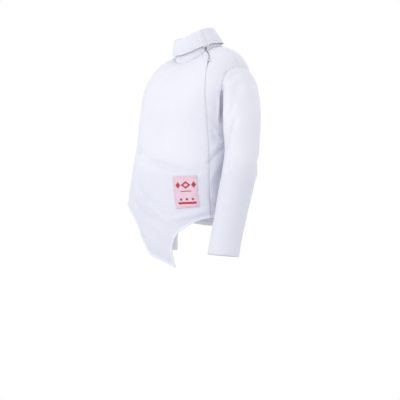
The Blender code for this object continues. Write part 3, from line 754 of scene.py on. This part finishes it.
def line_mesh(name, places, edges, ways):
    """Mesh of a line that the sewing follows, with the way out of the cloth at each point."""
    mesh = bpy.data.meshes.new(name)
    mesh.from_pydata([tuple(p) for p in places], edges, [])
    layer = mesh.attributes.new("outward", "FLOAT_VECTOR", "POINT")
    layer.data.foreach_set("vector", np.array(ways, np.float32).reshape(-1))
    return mesh


def tree_inputs(tree, inputs):
    """Adds the named inputs of a geometry tree, and returns a wire on each of them."""
    for name, (kind, value) in inputs.items():
        socket = tree.interface.new_socket(name, in_out="INPUT", socket_type=kind)
        if value is not None:
            socket.default_value = value
    tree.interface.new_socket("Geometry", in_out="OUTPUT", socket_type="NodeSocketGeometry")
    group = tree.nodes.new("NodeGroupInput")
    return {name: Wire(tree, group.outputs[name]) for name in inputs}


def facing(start):
    """Rotation that lays a piece's X along the line it follows and its Z out of the cloth."""
    tangent = start.add("GeometryNodeInputTangent")
    outward = start.add("GeometryNodeInputNamedAttribute", {"data_type": "FLOAT_VECTOR"}, {"Name": "outward"})
    turned = start.add("FunctionNodeAlignRotationToVector", {"axis": "X"}, {"Vector": tangent})
    upright = {"Rotation": turned, "Vector": outward}
    return start.add("FunctionNodeAlignRotationToVector", {"axis": "Z", "pivot_axis": "X"}, upright)


def laid_along(start, pitch, piece, size, material):
    """Rest of a tree: pieces of a size along its line, as real geometry with their material."""
    curve = start.add("GeometryNodeMeshToCurve", (), {"Mesh": start})
    points = start.add("GeometryNodeResampleCurve", {"mode": "LENGTH"}, {"Curve": curve, "Length": pitch})
    sized = start.add("GeometryNodeTransform", (), {"Geometry": piece, "Scale": size})
    placed = {"Points": points, "Instance": sized, "Rotation": facing(start)}
    laid = start.add("GeometryNodeInstanceOnPoints", (), placed)
    real = start.add("GeometryNodeRealizeInstances", (), {"Geometry": laid})
    smooth = start.add("GeometryNodeSetShadeSmooth", (), {"Geometry": real})
    done = start.add("GeometryNodeSetMaterial", (), {"Geometry": smooth, "Material": material})
    output = start.tree.nodes.new("NodeGroupOutput")
    start.tree.links.new(done.socket, output.inputs["Geometry"])


def grown(name, mesh, tree, values, body="jacket"):
    """Plain mesh object of what a geometry tree makes on a mesh, riding on its body."""
    obj = bpy.data.objects.new(name, mesh)
    bpy.context.scene.collection.objects.link(obj)
    modifier = obj.modifiers.new("Grow", "NODES")
    modifier.node_group = tree
    for item in tree.interface.items_tree:
        if item.in_out == "INPUT" and item.name in values:
            modifier[item.identifier] = values[item.name]
    bpy.context.view_layer.update()
    made = bpy.data.meshes.new_from_object(obj.evaluated_get(bpy.context.evaluated_depsgraph_get()))
    obj.modifiers.clear()
    obj.data = made
    bpy.data.meshes.remove(mesh)
    made.name = name
    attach(obj, body)
    return obj


def stitched(name, points, distance, inwards, values):
    """Row of stitches on a sheet, where its distance from an edge is the one given."""
    return grown(name, line_mesh(name, *contour(points, distance, inwards)), stitch_row, values)


def white_drill():
    """White drill: fine slanting weave, faint clouding, greyer at its seams, with a painted highlight on its
    hems and painted shade low on the jacket.
    """
    material, start = new_material("white_drill")
    place, _, _, height = start.coordinate("Object")
    _, u, v, _ = start.coordinate("UV")
    edge = start.add("ShaderNodeAttribute", {"attribute_name": "edge"}, (), 2)
    hem = start.add("ShaderNodeAttribute", {"attribute_name": "hem"}, (), 2)
    cloud = start.noise(place, 9.0, 3.0)
    fine = start.noise(place, 900.0, 2.0)
    # Painted shade: low on the jacket the colour turns towards the clouded drill, as if the lower body lay in
    # shade.
    painted_low_shade = height.fade(*SHADE_PAINTED_BELOW, SHADE_PAINTED_SHARE, 0.0)
    colour = (cloud.fade(0.35, 0.68, 0.0, 1.0 - SHADE_PAINTED_SHARE) + painted_low_shade).tint(DRILL_LIGHT, DRILL_CLOUDED_AND_SHADED)
    # Painted highlight: the turned hem is painted whiter, standing in for light on its raised rim.
    painted_hem_highlight = hem.fade(0.35 * HEM_DEPTH, 1.1 * HEM_DEPTH, 0.72, 0.0)
    colour = painted_hem_highlight.tint(colour, darker(DRILL_LIGHT, HEM_PAINTED_HIGHLIGHT))
    on_seam = (edge.fade(0.0, SEAM_REACH, 0.30, 0.0) + (fine - 0.5) * 0.10).most(0.0)
    slant = ((u + v) * (math.tau / WEAVE)).sine()
    cross = ((u - v) * (math.tau / (3.0 * WEAVE))).sine()
    threads = slant * 0.5 + cross * 0.18 + (fine - 0.5) * 0.8
    finish_skin(start, {
        "Base Color": on_seam.tint(colour, darker(DRILL_CLOUDED_AND_SHADED, SEAM_GREY)),
        "Roughness": cloud.fade(0.3, 0.7, 0.72, 0.84),
        "Sheen Weight": 0.18,
        "Sheen Roughness": 0.45,
        "Specular IOR Level": 0.25,
        "Normal": (threads * 0.16 + start.noise(place, 42.0, 3.0) * 1.6).relief(0.00035, 0.7),
    })
    return material


def thread_finish(name, colour):
    """Spun polyester thread: fine twist along each stitch, with a soft gloss."""
    material, start = new_material(name)
    place, x, y, z = start.coordinate("Object")
    twist = ((x + y + z) * (math.tau / THREAD_TWIST)).sine()
    shade = start.noise(place, 300.0).tint(colour, darker(colour, 0.86))
    finish_skin(start, {"Base Color": shade, "Roughness": 0.55, "Normal": twist.relief(0.00008, 0.5)})
    return material


# The sewing itself: one row of short raised stitches along a line.
stitch_row = bpy.data.node_groups.new("Row of stitches", "GeometryNodeTree")
stitch = tree_inputs(
    stitch_row,
    {
        "Line": ("NodeSocketGeometry", None),
        "Pitch": ("NodeSocketFloat", STITCH_PITCH),
        "Stitch Length": ("NodeSocketFloat", STITCH_LENGTH),
        "Thread Width": ("NodeSocketFloat", THREAD_WIDTH),
        "Thread Height": ("NodeSocketFloat", THREAD_HEIGHT),
        "Thread": ("NodeSocketMaterial", None),
    },
)
start = stitch["Line"]
bead = start.add("GeometryNodeMeshUVSphere", (), {"Segments": 6, "Rings": 4, "Radius": 0.5})
bead_size = {"X": stitch["Stitch Length"], "Y": stitch["Thread Width"], "Z": stitch["Thread Height"]}
bead_size = start.add("ShaderNodeCombineXYZ", (), bead_size)
laid_along(start, stitch["Pitch"], bead, bead_size, stitch["Thread"])

drill = white_drill()
white_sewing = {"Thread": thread_finish("white_thread", THREAD_WHITE)}


def shoulder_and_side_right(v):
    return np.full_like(v, -90.0)


def zip_edge_front(v):
    return zip_angle(v) - inset(zip_angle(v), v, along(FRONT_ZIP_EDGE, v))


degrees, v = panel_grid(
    FRONT_HEM, shoulder_and_side_right, zip_edge_front, ARMHOLE_FRONT_WIDTH, 0.0, FRONT_COLUMNS, FRONT_FOLLOW,
    FRONT_SPREAD,
)
front = torso_point(degrees, v, placket=True)
relief, seam_distance, hem_distance = sewn_edges(front, v, (0,))
zip_distance, zip_run = beside(front[:, -1], front)
relief += turned_hem(zip_distance, zip_run, TOPSTITCH_IN, 0.0)
front = front + grid_normals(front) * relief[..., None]
front_panel = cloth_shell("front_cloth", front, drill, edge=seam_distance, hem=hem_distance)
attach(front_panel, "jacket")
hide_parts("front_panel")

front_sewing = [
    stitched("front_hem_stitches", front, hem_distance, HEM_DEPTH, white_sewing),
    stitched("placket_stitches", front, zip_distance, TOPSTITCH_IN, white_sewing),
]

# Left side-front
# The narrow piece of the same drill between the zip and the side seam, with the front of the left
# armhole cut out of its edge. It is sewn to the zip tape with a turned edge.

SIDE_HEM = ((67.0, -0.376), (78.0, -0.375), (90.0, -0.376))
SIDE_COLUMNS = 40
SIDE_FOLLOW = 1.0
# Its zip edge lies slack against the tape: share of a seam's depth.
SIDE_ZIP_SHARE = 0.3
# Place of its zip edge: height parameter, distance past the zip line.
SIDE_ZIP_EDGE = (
    (0.00, 0.0013),
    (0.11, 0.0016),
    (0.19, 0.0026),
    (0.26, 0.0014),
    (0.36, 0.0006),
    (0.46, 0.0003),
    (2.00, 0.0003),
)


def zip_edge_side(v):
    return zip_angle(v) + inset(zip_angle(v), v, along(SIDE_ZIP_EDGE, v))


def shoulder_and_side_left(v):
    return np.full_like(v, 90.0)


degrees, v = panel_grid(
    SIDE_HEM, zip_edge_side, shoulder_and_side_left, 0.0, ARMHOLE_FRONT_WIDTH, SIDE_COLUMNS, SIDE_FOLLOW
)
side = torso_point(degrees, v)
relief, seam_distance, hem_distance = sewn_edges(side, v, (-1,))
relief += sewn_seam(*beside(side[:, 0], side), SIDE_ZIP_SHARE * SEAM_DEPTH)
side = side + grid_normals(side) * relief[..., None]
side_panel = cloth_shell("side_front_cloth", side, drill, edge=seam_distance, hem=hem_distance)
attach(side_panel, "jacket")
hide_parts("side_front_panel")
side_sewing = stitched("side_hem_stitches", side, hem_distance, HEM_DEPTH, white_sewing)

# Back panel
# One piece of the same drill from shoulder seam to hip hem, with the back halves of both armholes cut
# out. It is sewn to the fronts at the shoulders and sides, and hangs plain.

BACK_HEM = ((90.0, -0.376), (130.0, -0.392), (180.0, -0.398), (230.0, -0.384), (270.0, -0.353))
BACK_COLUMNS = 120
BACK_FOLLOW = 3.0


def side_seam_right(v):
    return np.full_like(v, 270.0)


degrees, v = panel_grid(
    BACK_HEM, shoulder_and_side_left, side_seam_right, ARMHOLE_BACK_WIDTH, ARMHOLE_BACK_WIDTH, BACK_COLUMNS,
    BACK_FOLLOW,
)
back = torso_point(degrees, v)
relief, seam_distance, hem_distance = sewn_edges(back, v, (0, -1))
back = back + grid_normals(back) * relief[..., None]
back_panel = cloth_shell("back_cloth", back, drill, edge=seam_distance, hem=hem_distance)
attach(back_panel, "jacket")
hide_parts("back_panel")
back_sewing = stitched("back_hem_stitches", back, hem_distance, HEM_DEPTH, white_sewing)

# Sleeves
# Two set-in sleeves of the same drill, each a tube closed under the arm, eased into its armhole so
# that its head stands a little full, with a turned and stitched cuff.

# Arm sections below the cap: depth below the neck base, centre x, centre y, half width, half depth.
LEFT_ARM = (
    (0.185, 0.1710, -0.0410, 0.0365, 0.0430),
    (0.230, 0.1735, -0.0430, 0.0355, 0.0385),
    (0.280, 0.1745, -0.0530, 0.0355, 0.0375),
    (0.326, 0.1745, -0.0660, 0.0345, 0.0370),
    (0.380, 0.1735, -0.0800, 0.0325, 0.0350),
    (0.425, 0.1720, -0.0910, 0.0320, 0.0340),
    (0.455, 0.1710, -0.0975, 0.0325, 0.0335),
)
RIGHT_ARM = (
    (0.185, -0.1720, 0.0340, 0.0365, 0.0405),
    (0.230, -0.1730, 0.0440, 0.0355, 0.0385),
    (0.280, -0.1725, 0.0500, 0.0355, 0.0380),
    (0.326, -0.1730, 0.0530, 0.0345, 0.0370),
    (0.380, -0.1730, 0.0510, 0.0325, 0.0350),
    (0.425, -0.1725, 0.0480, 0.0320, 0.0340),
    (0.455, -0.1720, 0.0460, 0.0325, 0.0335),
)
CAP_OUT, CAP_SPREAD, CAP_DOWN = 0.82, 0.40, 0.50
CAP_HEIGHT = 0.12
CAP_LEAVE = 0.085
CAP_ARRIVE = 0.060
CAP_FOLD_START = 0.12
ARM_STEP = 0.02
SLEEVE_FOLD_SCALE = 0.0007
# Full head of the sleeve and its eased fullness: height, distance from the armhole, half width.
HEAD_RISE = (0.0003, 0.007, 0.006)
HEAD_EASE = (0.0003, 0.004, 0.009)
HEAD_WAVES = (0.013, 1.5, 0.08)
# How far the sleeve head goes under the edge of the armhole: outwards along it, and into the body.
HEAD_TUCK = (0.0030, 0.0022)
CUFF_DEPTH = 0.016
CUFF_RISE = 0.0005
SLEEVE_COLUMNS = 110
# Grid rows over the cap and down the arm.
SLEEVE_ROWS = (52, 92)

# Sleeve folds: start angle round the arm, start z, end angle, end z, half width, height, lean, bow.
SLEEVE_FOLDS = (
    (57, -0.165, 86, -0.208, 0.0060, -0.0046, 0.0, 0.0),
    (84, -0.206, 122, -0.240, 0.0060, -0.0042, 0.0, 0.0),
    (104, -0.100, 112, -0.170, 0.0110, 0.0050, 0.0, 0.0),
    (74, -0.088, 16, -0.060, 0.0068, -0.0044, 0.0, 0.0),
    (20, -0.072, 44, -0.118, 0.0085, -0.0026, 0.0, 0.0),
    (4, -0.084, 13, -0.122, 0.0090, 0.0022, 0.0, 0.0),
    (70, -0.096, 76, -0.136, 0.0090, 0.0020, 0.0, 0.0),
    (50, -0.128, 80, -0.160, 0.0065, -0.0028, 0.0, 0.0),
    (112, -0.236, 56, -0.262, 0.0090, 0.0018, -0.3, 0.002),
    (104, -0.262, 40, -0.290, 0.0090, -0.0013, 0.3, 0.002),
    (40, -0.214, 8, -0.250, 0.0090, -0.0010, 0.0, 0.0),
    (100, -0.384, 34, -0.358, 0.0100, -0.0012, 0.3, 0.0),
    (84, -0.352, 20, -0.332, 0.0100, 0.0009, 0.0, 0.0),
    (330, -0.076, 318, -0.140, 0.0090, -0.0020, 0.0, 0.0),
    (300, -0.100, 270, -0.200, 0.0085, -0.0036, 0.2, 0.003),
    (276, -0.120, 250, -0.200, 0.0080, 0.0028, 0.0, 0.0),
    (258, -0.228, 330, -0.262, 0.0070, -0.0042, -0.3, 0.003),
    (250, -0.256, 320, -0.290, 0.0075, 0.0030, 0.0, 0.0),
    (230, -0.330, 310, -0.360, 0.0080, -0.0034, 0.3, 0.003),
    (220, -0.392, 290, -0.380, 0.0065, -0.0026, 0.0, 0.0),
    (170, -0.240, 220, -0.268, 0.008, -0.0026, 0.0, 0.0),
    (150, -0.300, 200, -0.320, 0.008, -0.0020, 0.0, 0.0),
)


def armhole_point(side, turn):
    """Point of the sleeve's first ring, just inside the armhole; turn 0 is the shoulder, 90 the front."""
    angle = np.radians(turn)
    v = ARMHOLE_MIDDLE - (ARMHOLE_HALF_HEIGHT - ARMHOLE_RISE_INSET) * np.cos(angle)
    width = np.where(np.sin(angle) > 0, ARMHOLE_FRONT_WIDTH, ARMHOLE_BACK_WIDTH)
    return bare_point(side * (90.0 - (width - ARMHOLE_TURN_INSET) * np.sin(angle)), v)


def arm_frame(table, z):
    x, y, half_width, half_depth = (along(table, -z, k) for k in range(1, 5))
    return np.stack((x, y, z + 0.0 * x), -1), half_width[..., None], half_depth[..., None]


def arm_point(table, side, turn, z):
    """Point on the sleeve tube below the cap."""
    centre, half_width, half_depth = arm_frame(table, z)
    down_arm = unit(arm_frame(table, z - ARM_STEP)[0] - arm_frame(table, z + ARM_STEP)[0])
    ahead = unit(np.array((0.0, -1.0, 0.0)) + down_arm * down_arm[..., 1:2])
    out = np.cross(ahead, down_arm)
    out = out * np.sign(out[..., :1] * side)
    angle = np.radians(turn)[..., None]
    return centre + out * half_width * np.cos(angle) + ahead * half_depth * np.sin(angle)


def bare_sleeve(table, side, turn, s):
    """Sleeve surface: s from 0 to 1 is the cap, then on to 2 at the cuff."""
    turn, s = np.broadcast_arrays(np.asarray(turn, float), np.asarray(s, float))
    top, bottom = -table[0][0], -table[-1][0]
    arm = arm_point(table, side, turn, top + (bottom - top) * np.maximum(s - 1.0, 0.0))
    first = armhole_point(side, turn)
    last = arm_point(table, side, turn, np.full_like(s, top))
    angle = np.radians(turn)
    leave = np.stack((0.0 * s + side * CAP_OUT, -CAP_SPREAD * np.sin(angle), 0.0 * s - CAP_DOWN), -1)
    near = np.linalg.norm(last - first, axis=-1, keepdims=True) / CAP_HEIGHT
    arrive = unit(arm_point(table, side, turn, np.full_like(s, top - ARM_STEP / 2)) - last)
    a, b = unit(leave) * CAP_LEAVE * near, arrive * CAP_ARRIVE * near
    t = np.clip(s, 0.0, 1.0)[..., None]
    cap = (
        first * (1 + 2 * t) * (1 - t) ** 2
        + a * t * (1 - t) ** 2
        + last * t * t * (3 - 2 * t)
        + b * t * t * (t - 1)
    )
    return np.where((s > 1.0)[..., None], arm, cap)


def sleeve_point(table, side, turn, s):
    """Sleeve surface with its folds."""
    point = bare_sleeve(table, side, turn, s)
    held = np.clip(s, ARM_STEP, 2.0 - ARM_STEP)
    normal = -side * surface_normal(lambda a, b: bare_sleeve(table, side, a, b), turn, held, 1.0, ARM_STEP)
    fade = np.minimum(1.0, s / CAP_FOLD_START)
    lift = fold_height(SLEEVE_FOLDS, turn % 360.0, point[..., 2], SLEEVE_FOLD_SCALE) * fade
    return point + normal * lift[..., None]


for name, node, table, hand in (
    ("left_sleeve_cloth", "left_sleeve", LEFT_ARM, 1.0),
    ("right_sleeve_cloth", "right_sleeve", RIGHT_ARM, -1.0),
):
    turns = -hand * np.arange(SLEEVE_COLUMNS) * 360.0 / SLEEVE_COLUMNS
    levels = np.concatenate((
        np.linspace(0.0, 1.0, SLEEVE_ROWS[0], endpoint=False), np.linspace(1.0, 2.0, SLEEVE_ROWS[1])
    ))
    turn, s = np.meshgrid(turns, levels)
    sleeve = sleeve_point(table, hand, turn, s)
    normals = grid_normals(sleeve, True)
    head_distance, head_run = beside(np.concatenate((sleeve[0], sleeve[0, :1])), sleeve)
    cuff_distance, cuff_run = beside(np.concatenate((sleeve[-1], sleeve[-1, :1])), sleeve)
    under_distance, under_run = beside(sleeve[:, SLEEVE_COLUMNS // 2], sleeve)
    relief = turned_hem(cuff_distance, cuff_run, CUFF_DEPTH, CUFF_RISE)
    relief += HEAD_RISE[0] * bump(head_distance, *HEAD_RISE[1:])
    relief += HEAD_EASE[0] * waves(head_run, *HEAD_WAVES) * bump(head_distance, *HEAD_EASE[1:])
    relief += sewn_seam(under_distance, under_run, SEAM_DEPTH)
    sleeve = sleeve + normals * relief[..., None]
    tucked = sleeve[0] + unit(sleeve[0] - sleeve[0].mean(0)) * HEAD_TUCK[0] - (hand * HEAD_TUCK[1], 0.0, 0.0)
    sleeve = np.concatenate((tucked[None], sleeve))
    head_distance, under_distance, cuff_distance = (
        np.concatenate((field[:1], field)) for field in (head_distance, under_distance, cuff_distance)
    )
    shell = cloth_shell(name, sleeve, drill, closed=True, edge=np.minimum(head_distance, under_distance))
    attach(shell, "jacket")
    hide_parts(node)
    ring = np.concatenate((sleeve, sleeve[:, :1]), 1)
    ring_field = np.concatenate((cuff_distance, cuff_distance[:, :1]), 1)
    cuff_sewing = stitched(node + "_cuff_stitches", ring, ring_field, CUFF_DEPTH, white_sewing)

# Collar stand
# The upright band of the collar, sewn to the neck seam and hidden but for its lower edge under the
# turned-down collar.

FOLD_RING = (0.042, 0.042, -0.017)
STAND_END = 3.0
STAND_BELOW_FOLD = 0.0032
STAND_ROWS = 18
# How far the stand's lower edge goes into the neck seam: share of its width inwards, depth.
STAND_TUCK = (0.008, 0.0045)
STAND_COLUMNS = 140

around = np.linspace(ZIP_LINE[0][1] + STAND_END, ZIP_LINE[0][1] - STAND_END + 360.0, STAND_COLUMNS)
low = ring_point(NECK_RING, NECK_COLUMN, around)
high = ring_point(FOLD_RING, FOLD_COLUMN, around) - (0.0, 0.0, STAND_BELOW_FOLD)
upright = low + (high - low) * np.linspace(1.0, 0.0, STAND_ROWS)[:, None, None]
tucked = [
    low * (1.0 - STAND_TUCK[0] * k, 1.0 - STAND_TUCK[0] * k, 1.0) - (0.0, 0.0, STAND_TUCK[1] * k)
    for k in (0.5, 1.0)
]
stand = np.concatenate((upright, tucked))
collar_stand = cloth_shell("collar_stand_cloth", stand, drill)
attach(collar_stand, "jacket")
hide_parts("collar_stand")

# Collar fall
# The turned-down outer collar: it rolls over the top of the stand, lies down to the neck seam, and its
# front end laps over the zip. Its free edge is turned and stitched.

FALL_RING = (0.0560, 0.0580, -0.0050)
# Rolled top: place along the roll, distance out from the fold ring, height over it.
FALL_ROLL = (
    (0, -0.0016, -0.0014),
    (1, -0.0008, 0.0008),
    (2, 0.0010, 0.0019),
    (3, 0.0030, 0.0010),
    (4, 0.0041, -0.0022),
)
# Degrees that its two ends run past the zip line, and those over which the under end sinks.
FALL_LAP = 8.0
FALL_UNDERLAP = 2.0
FALL_SINK_REACH = 7.0
FALL_LAP_START = 0.93
FALL_LAP_RISE = 0.0008
FALL_LAP_SINK = 0.0013
# How the upper end of the lap rounds down: depth, and the share of the collar that it takes.
FALL_END_DROP = (0.0020, 0.012)
# The upper end hangs lower: drop, and the degrees from its end over which that fades.
FALL_STEP = 0.0035
FALL_STEP_FADE = (12.0, 15.0)
FALL_SPRING = 0.0012
# How much closer the grid's columns lie at the two ends.
FALL_CROWDING = 0.65
FALL_EDGE_RISE = 0.0003
FALL_ROWS = (16, 28)
FALL_COLUMNS = 200
FALL_EDGE_STITCH = 0.0045

first, last = ZIP_LINE[0][1] - FALL_LAP, ZIP_LINE[0][1] + FALL_UNDERLAP + 360.0
r = np.linspace(0.0, 1.0, FALL_COLUMNS)[None, :]
r = r - FALL_CROWDING * np.sin(math.tau * r) / math.tau
around = first + (last - first) * r
angle = np.radians(around)
outward = np.stack((np.sin(angle), -np.cos(angle), 0.0 * angle), -1)
over_lap = smooth_step(r, FALL_LAP_START, 1.0)
under_end = ZIP_LINE[0][1] + FALL_UNDERLAP
under_lap = 1.0 - smooth_step(around, under_end, under_end + FALL_SINK_REACH)
end_drop = FALL_END_DROP[0] * smooth_step(r, 1.0 - FALL_END_DROP[1], 1.0)
lap = (FALL_LAP_RISE * over_lap - FALL_LAP_SINK * under_lap - end_drop)[..., None]
fold_line = ring_point(FOLD_RING, FOLD_COLUMN, around)


def rolled(k):
    """Row of the collar's roll at a place along it."""
    out, rise = along(FALL_ROLL, k, 1), along(FALL_ROLL, k, 2)
    return fold_line + outward * (out + lap * max(0.0, (k - 1.0) / 3.0)) + np.array((0.0, 0.0, rise))


fall = [rolled(k) for k in np.linspace(0.0, 4.0, FALL_ROWS[0])]
fall_edge = ring_point(FALL_RING, FALL_COLUMN, around)
fall_edge[..., 2] -= FALL_STEP * (1.0 - smooth_step(around - first, *FALL_STEP_FADE))
roll_end = fall[-1] - outward * lap
for t in np.arange(1, FALL_ROWS[1] + 1) / FALL_ROWS[1]:
    fall.append(roll_end + (fall_edge - roll_end) * t + outward * (lap + FALL_SPRING * np.sin(np.pi * t)))
fall = np.concatenate(fall)
rim = np.concatenate((fall[:, 0], fall[-1, 1:-1], fall[::-1, -1]))
rim_distance, rim_run = beside(rim, fall)
relief = turned_hem(rim_distance, rim_run, FALL_EDGE_STITCH, FALL_EDGE_RISE)
fall = fall + grid_normals(fall) * relief[..., None]
collar_fall = cloth_shell("collar_fall_cloth", fall, drill)
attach(collar_fall, "jacket")
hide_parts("collar_fall")
fall_sewing = stitched("collar_edge_stitches", fall, rim_distance, FALL_EDGE_STITCH, white_sewing)

# Zip tape and teeth
# A woven white tape lies under the zip edges from the neck to the hem, with two rows of moulded white
# teeth down its middle, meshed below the slider and parted above it.

TAPE_WALL = 0.0012
TAPE_DEPTH = 0.0024
TAPE_HALF_WIDTH = 0.009
TAPE_START = 0.03
TAPE_END_Z = -0.372
TAPE_ROWS = 260
TAPE_COLUMNS = 13
SLIDER_PARAMETER = 0.20
TOOTH_PITCH = 0.0022
TOOTH_SIZE = (0.0011, 0.0026, 0.0011)
# Distance of each row of teeth from the zip line, above and below the slider, and where it changes.
TEETH_PARTED = 0.0024
TEETH_MESHED = 0.0008
TEETH_CLOSING = (SLIDER_PARAMETER - 0.03, SLIDER_PARAMETER + 0.01)
TEETH_RISE = 0.0004
# The chain stops short of the tape's ends, and one row starts some points later, so that they mesh.
CHAIN_SHORT = 0.01
CHAIN_POINTS = 420
CHAIN_STAGGER = 3

tape_end = parameter_of(TAPE_END_Z)
tape_v = np.linspace(TAPE_START, tape_end, TAPE_ROWS)[:, None]
tape_centre = zip_angle(tape_v)
tape_half = inset(tape_centre, tape_v, TAPE_HALF_WIDTH)
tape = torso_point(tape_centre + tape_half * np.linspace(-1, 1, TAPE_COLUMNS), tape_v, -TAPE_DEPTH)
tape_white, start = new_material("zip_tape_white")
place, _, _, _ = start.coordinate("Object")
_, u, v, _ = start.coordinate("UV")
ribs = (u * (math.tau / 0.0008)).sine() * 0.6 + (v * (math.tau / 0.0012)).sine() * 0.4
shade = start.noise(place, 60.0).tint((0.66, 0.68, 0.73, 1.0), (0.74, 0.76, 0.80, 1.0))
finish_skin(start, {"Base Color": shade, "Roughness": 0.7, "Normal": ribs.relief(0.0003, 0.6)})
zip_tape = cloth_shell("zip_tape_cloth", tape, tape_white, TAPE_WALL)
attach(zip_tape, "jacket")
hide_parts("zip_tape")

tooth_row = bpy.data.node_groups.new("Row of zip teeth", "GeometryNodeTree")
teeth = tree_inputs(
    tooth_row,
    {
        "Line": ("NodeSocketGeometry", None),
        "Pitch": ("NodeSocketFloat", TOOTH_PITCH),
        "Tooth Size": ("NodeSocketVector", TOOTH_SIZE),
        "Moulding": ("NodeSocketMaterial", None),
    },
)
start = teeth["Line"]
tooth = start.add("GeometryNodeMeshCylinder", (), {"Vertices": 8, "Radius": 0.5, "Depth": 1.0})
laid_along(start, teeth["Pitch"], tooth, teeth["Tooth Size"], teeth["Moulding"])

moulded, start = new_material("moulded_teeth")
place, _, _, _ = start.coordinate("Object")
shade = start.noise(place, 400.0).tint((0.70, 0.72, 0.76, 1.0), (0.78, 0.80, 0.84, 1.0))
pitted = start.noise(place, 900.0).relief(0.0001, 0.3)
finish_skin(start, {"Base Color": shade, "Roughness": 0.35, "Normal": pitted})

chain_v = np.linspace(TAPE_START + CHAIN_SHORT, tape_end - CHAIN_SHORT, CHAIN_POINTS)
chain_centre = zip_angle(chain_v)
parting = TEETH_PARTED + (TEETH_MESHED - TEETH_PARTED) * smooth_step(chain_v, *TEETH_CLOSING)
for name, hand, late in (("zip_teeth_front", -1.0, 0), ("zip_teeth_side", 1.0, CHAIN_STAGGER)):
    path_degrees = chain_centre + hand * inset(chain_centre, chain_v, parting)
    path = torso_point(path_degrees, chain_v, TEETH_RISE - TAPE_DEPTH)[late:]
    ways = torso_normal(path_degrees, chain_v)[late:]
    links = [(i, i + 1) for i in range(len(path) - 1)]
    line = line_mesh(name, path, links, ways)
    grown(name, line, tooth_row, {"Moulding": moulded})

# Zip slider and pull
# A small cast slider stands near the top of the zip, with a flat pull tab hanging by its eye from the
# slider's bridge. Both are bare metal, dulled and finely scratched.

cast_metal, start = new_material("dulled_metal")
place, _, _, _ = start.coordinate("Object")
scratch = start.noise(place, 1400.0, 4.0)
cloud = start.noise(place, 220.0)
finish_skin(start, {
    "Base Color": cloud.tint((0.60, 0.61, 0.64, 1.0), (0.76, 0.77, 0.80, 1.0)),
    "Metallic": cloud.fade(0.2, 0.8, 0.65, 0.85),
    "Roughness": scratch.fade(0.3, 0.7, 0.42, 0.58),
    "Normal": scratch.relief(0.0001, 0.3),
})
for node in ("zip_slider", "zip_pull"):
    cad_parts[node].material_slots[0].material = cast_metal

# Label
# A small patch of pink satin sewn to the left front by its four edges, woven with a plain pattern of
# dark red lozenges and bars.

LABEL_WALL = 0.0011
LABEL_LIFT = 0.0016
LABEL_TOP = ((23.0, -0.2875), (50.3, -0.2847))
LABEL_BOTTOM = ((28.0, -0.3560), (54.0, -0.3520))
LABEL_ROWS = 60
LABEL_COLUMNS = 50
LABEL_STITCH = 0.0022
LABEL_SINK = 0.0003
LABEL_PITCH = 0.0022
LABEL_STITCH_LENGTH = 0.0017
LABEL_WEFT = 0.0007
MARK_SOFTNESS = 0.0004
PINK_THREAD = (0.72, 0.44, 0.55, 1.0)
PINK = (0.70, 0.47, 0.58, 1.0)
PALE_PINK = (0.76, 0.58, 0.68, 1.0)
DARK_RED = (0.42, 0.018, 0.040, 1.0)

s, r = np.meshgrid(np.linspace(0, 1, LABEL_ROWS), np.linspace(0, 1, LABEL_COLUMNS), indexing="ij")
top, low = (
    [ends[0][k] + (ends[1][k] - ends[0][k]) * r for k in (0, 1)] for ends in (LABEL_TOP, LABEL_BOTTOM)
)
degrees, z = (top[k] + (low[k] - top[k]) * s for k in (0, 1))
label = torso_point(degrees, parameter_of(z), LABEL_LIFT, placket=True)
rim = np.concatenate((label[0], label[1:, -1], label[-1, -2::-1], label[-2::-1, 0]))
rim_distance, rim_run = beside(rim, label)
relief = turned_hem(rim_distance, rim_run, LABEL_STITCH, -LABEL_SINK)
label = label + grid_normals(label) * relief[..., None]

satin, start = new_material("woven_pink_satin")
place, _, _, _ = start.coordinate("Object")
_, u, v, _ = start.coordinate("UV")


def lozenge(across, down, half_width, half_height):
    """Mask of a lozenge at a place on the patch."""
    return (abs(u - across) / half_width + abs(v - down) / half_height).fade(0.92, 1.06, 1.0, 0.0)


def bar(across, down, half_width, half_height):
    """Mask of a bar at a place on the patch."""
    wide, high = (
        abs(way - middle).fade(half - MARK_SOFTNESS, half + MARK_SOFTNESS, 1.0, 0.0)
        for way, middle, half in ((u, across, half_width), (v, down, half_height))
    )
    return wide * high


red = lozenge(0.0, -0.0200, 0.0110, 0.0085)
red = red * (1.0 - lozenge(0.0, -0.0200, 0.0052, 0.0040))
for mark in (
    lozenge(-0.0175, -0.0200, 0.0055, 0.0075),
    lozenge(0.0175, -0.0200, 0.0055, 0.0075),
    bar(0.0, -0.0335, 0.0120, 0.0010),
    lozenge(-0.0130, -0.0510, 0.0035, 0.0035),
    lozenge(0.0, -0.0510, 0.0035, 0.0035),
    lozenge(0.0130, -0.0510, 0.0035, 0.0035),
    bar(0.0, -0.0590, 0.0200, 0.0024),
):
    red = red.most(mark)
ground = start.noise(place, 55.0).tint(PINK, PALE_PINK)
weft = (v * (math.tau / LABEL_WEFT)).sine()
finish_skin(start, {
    "Base Color": red.tint(ground, DARK_RED),
    "Roughness": red.fade(0.0, 1.0, 0.42, 0.55),
    "Sheen Weight": 0.2,
    "Normal": (weft * 0.5 + red * 0.8).relief(0.00025, 0.6),
})
label_patch = cloth_shell("label_cloth_patch", label, satin, LABEL_WALL)
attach(label_patch, "jacket")
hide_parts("label_patch")
pink_sewing = {
    "Thread": thread_finish("pink_thread", PINK_THREAD),
    "Pitch": LABEL_PITCH,
    "Stitch Length": LABEL_STITCH_LENGTH,
}
label_sewing = stitched("label_stitches", label, rim_distance, LABEL_STITCH, pink_sewing)
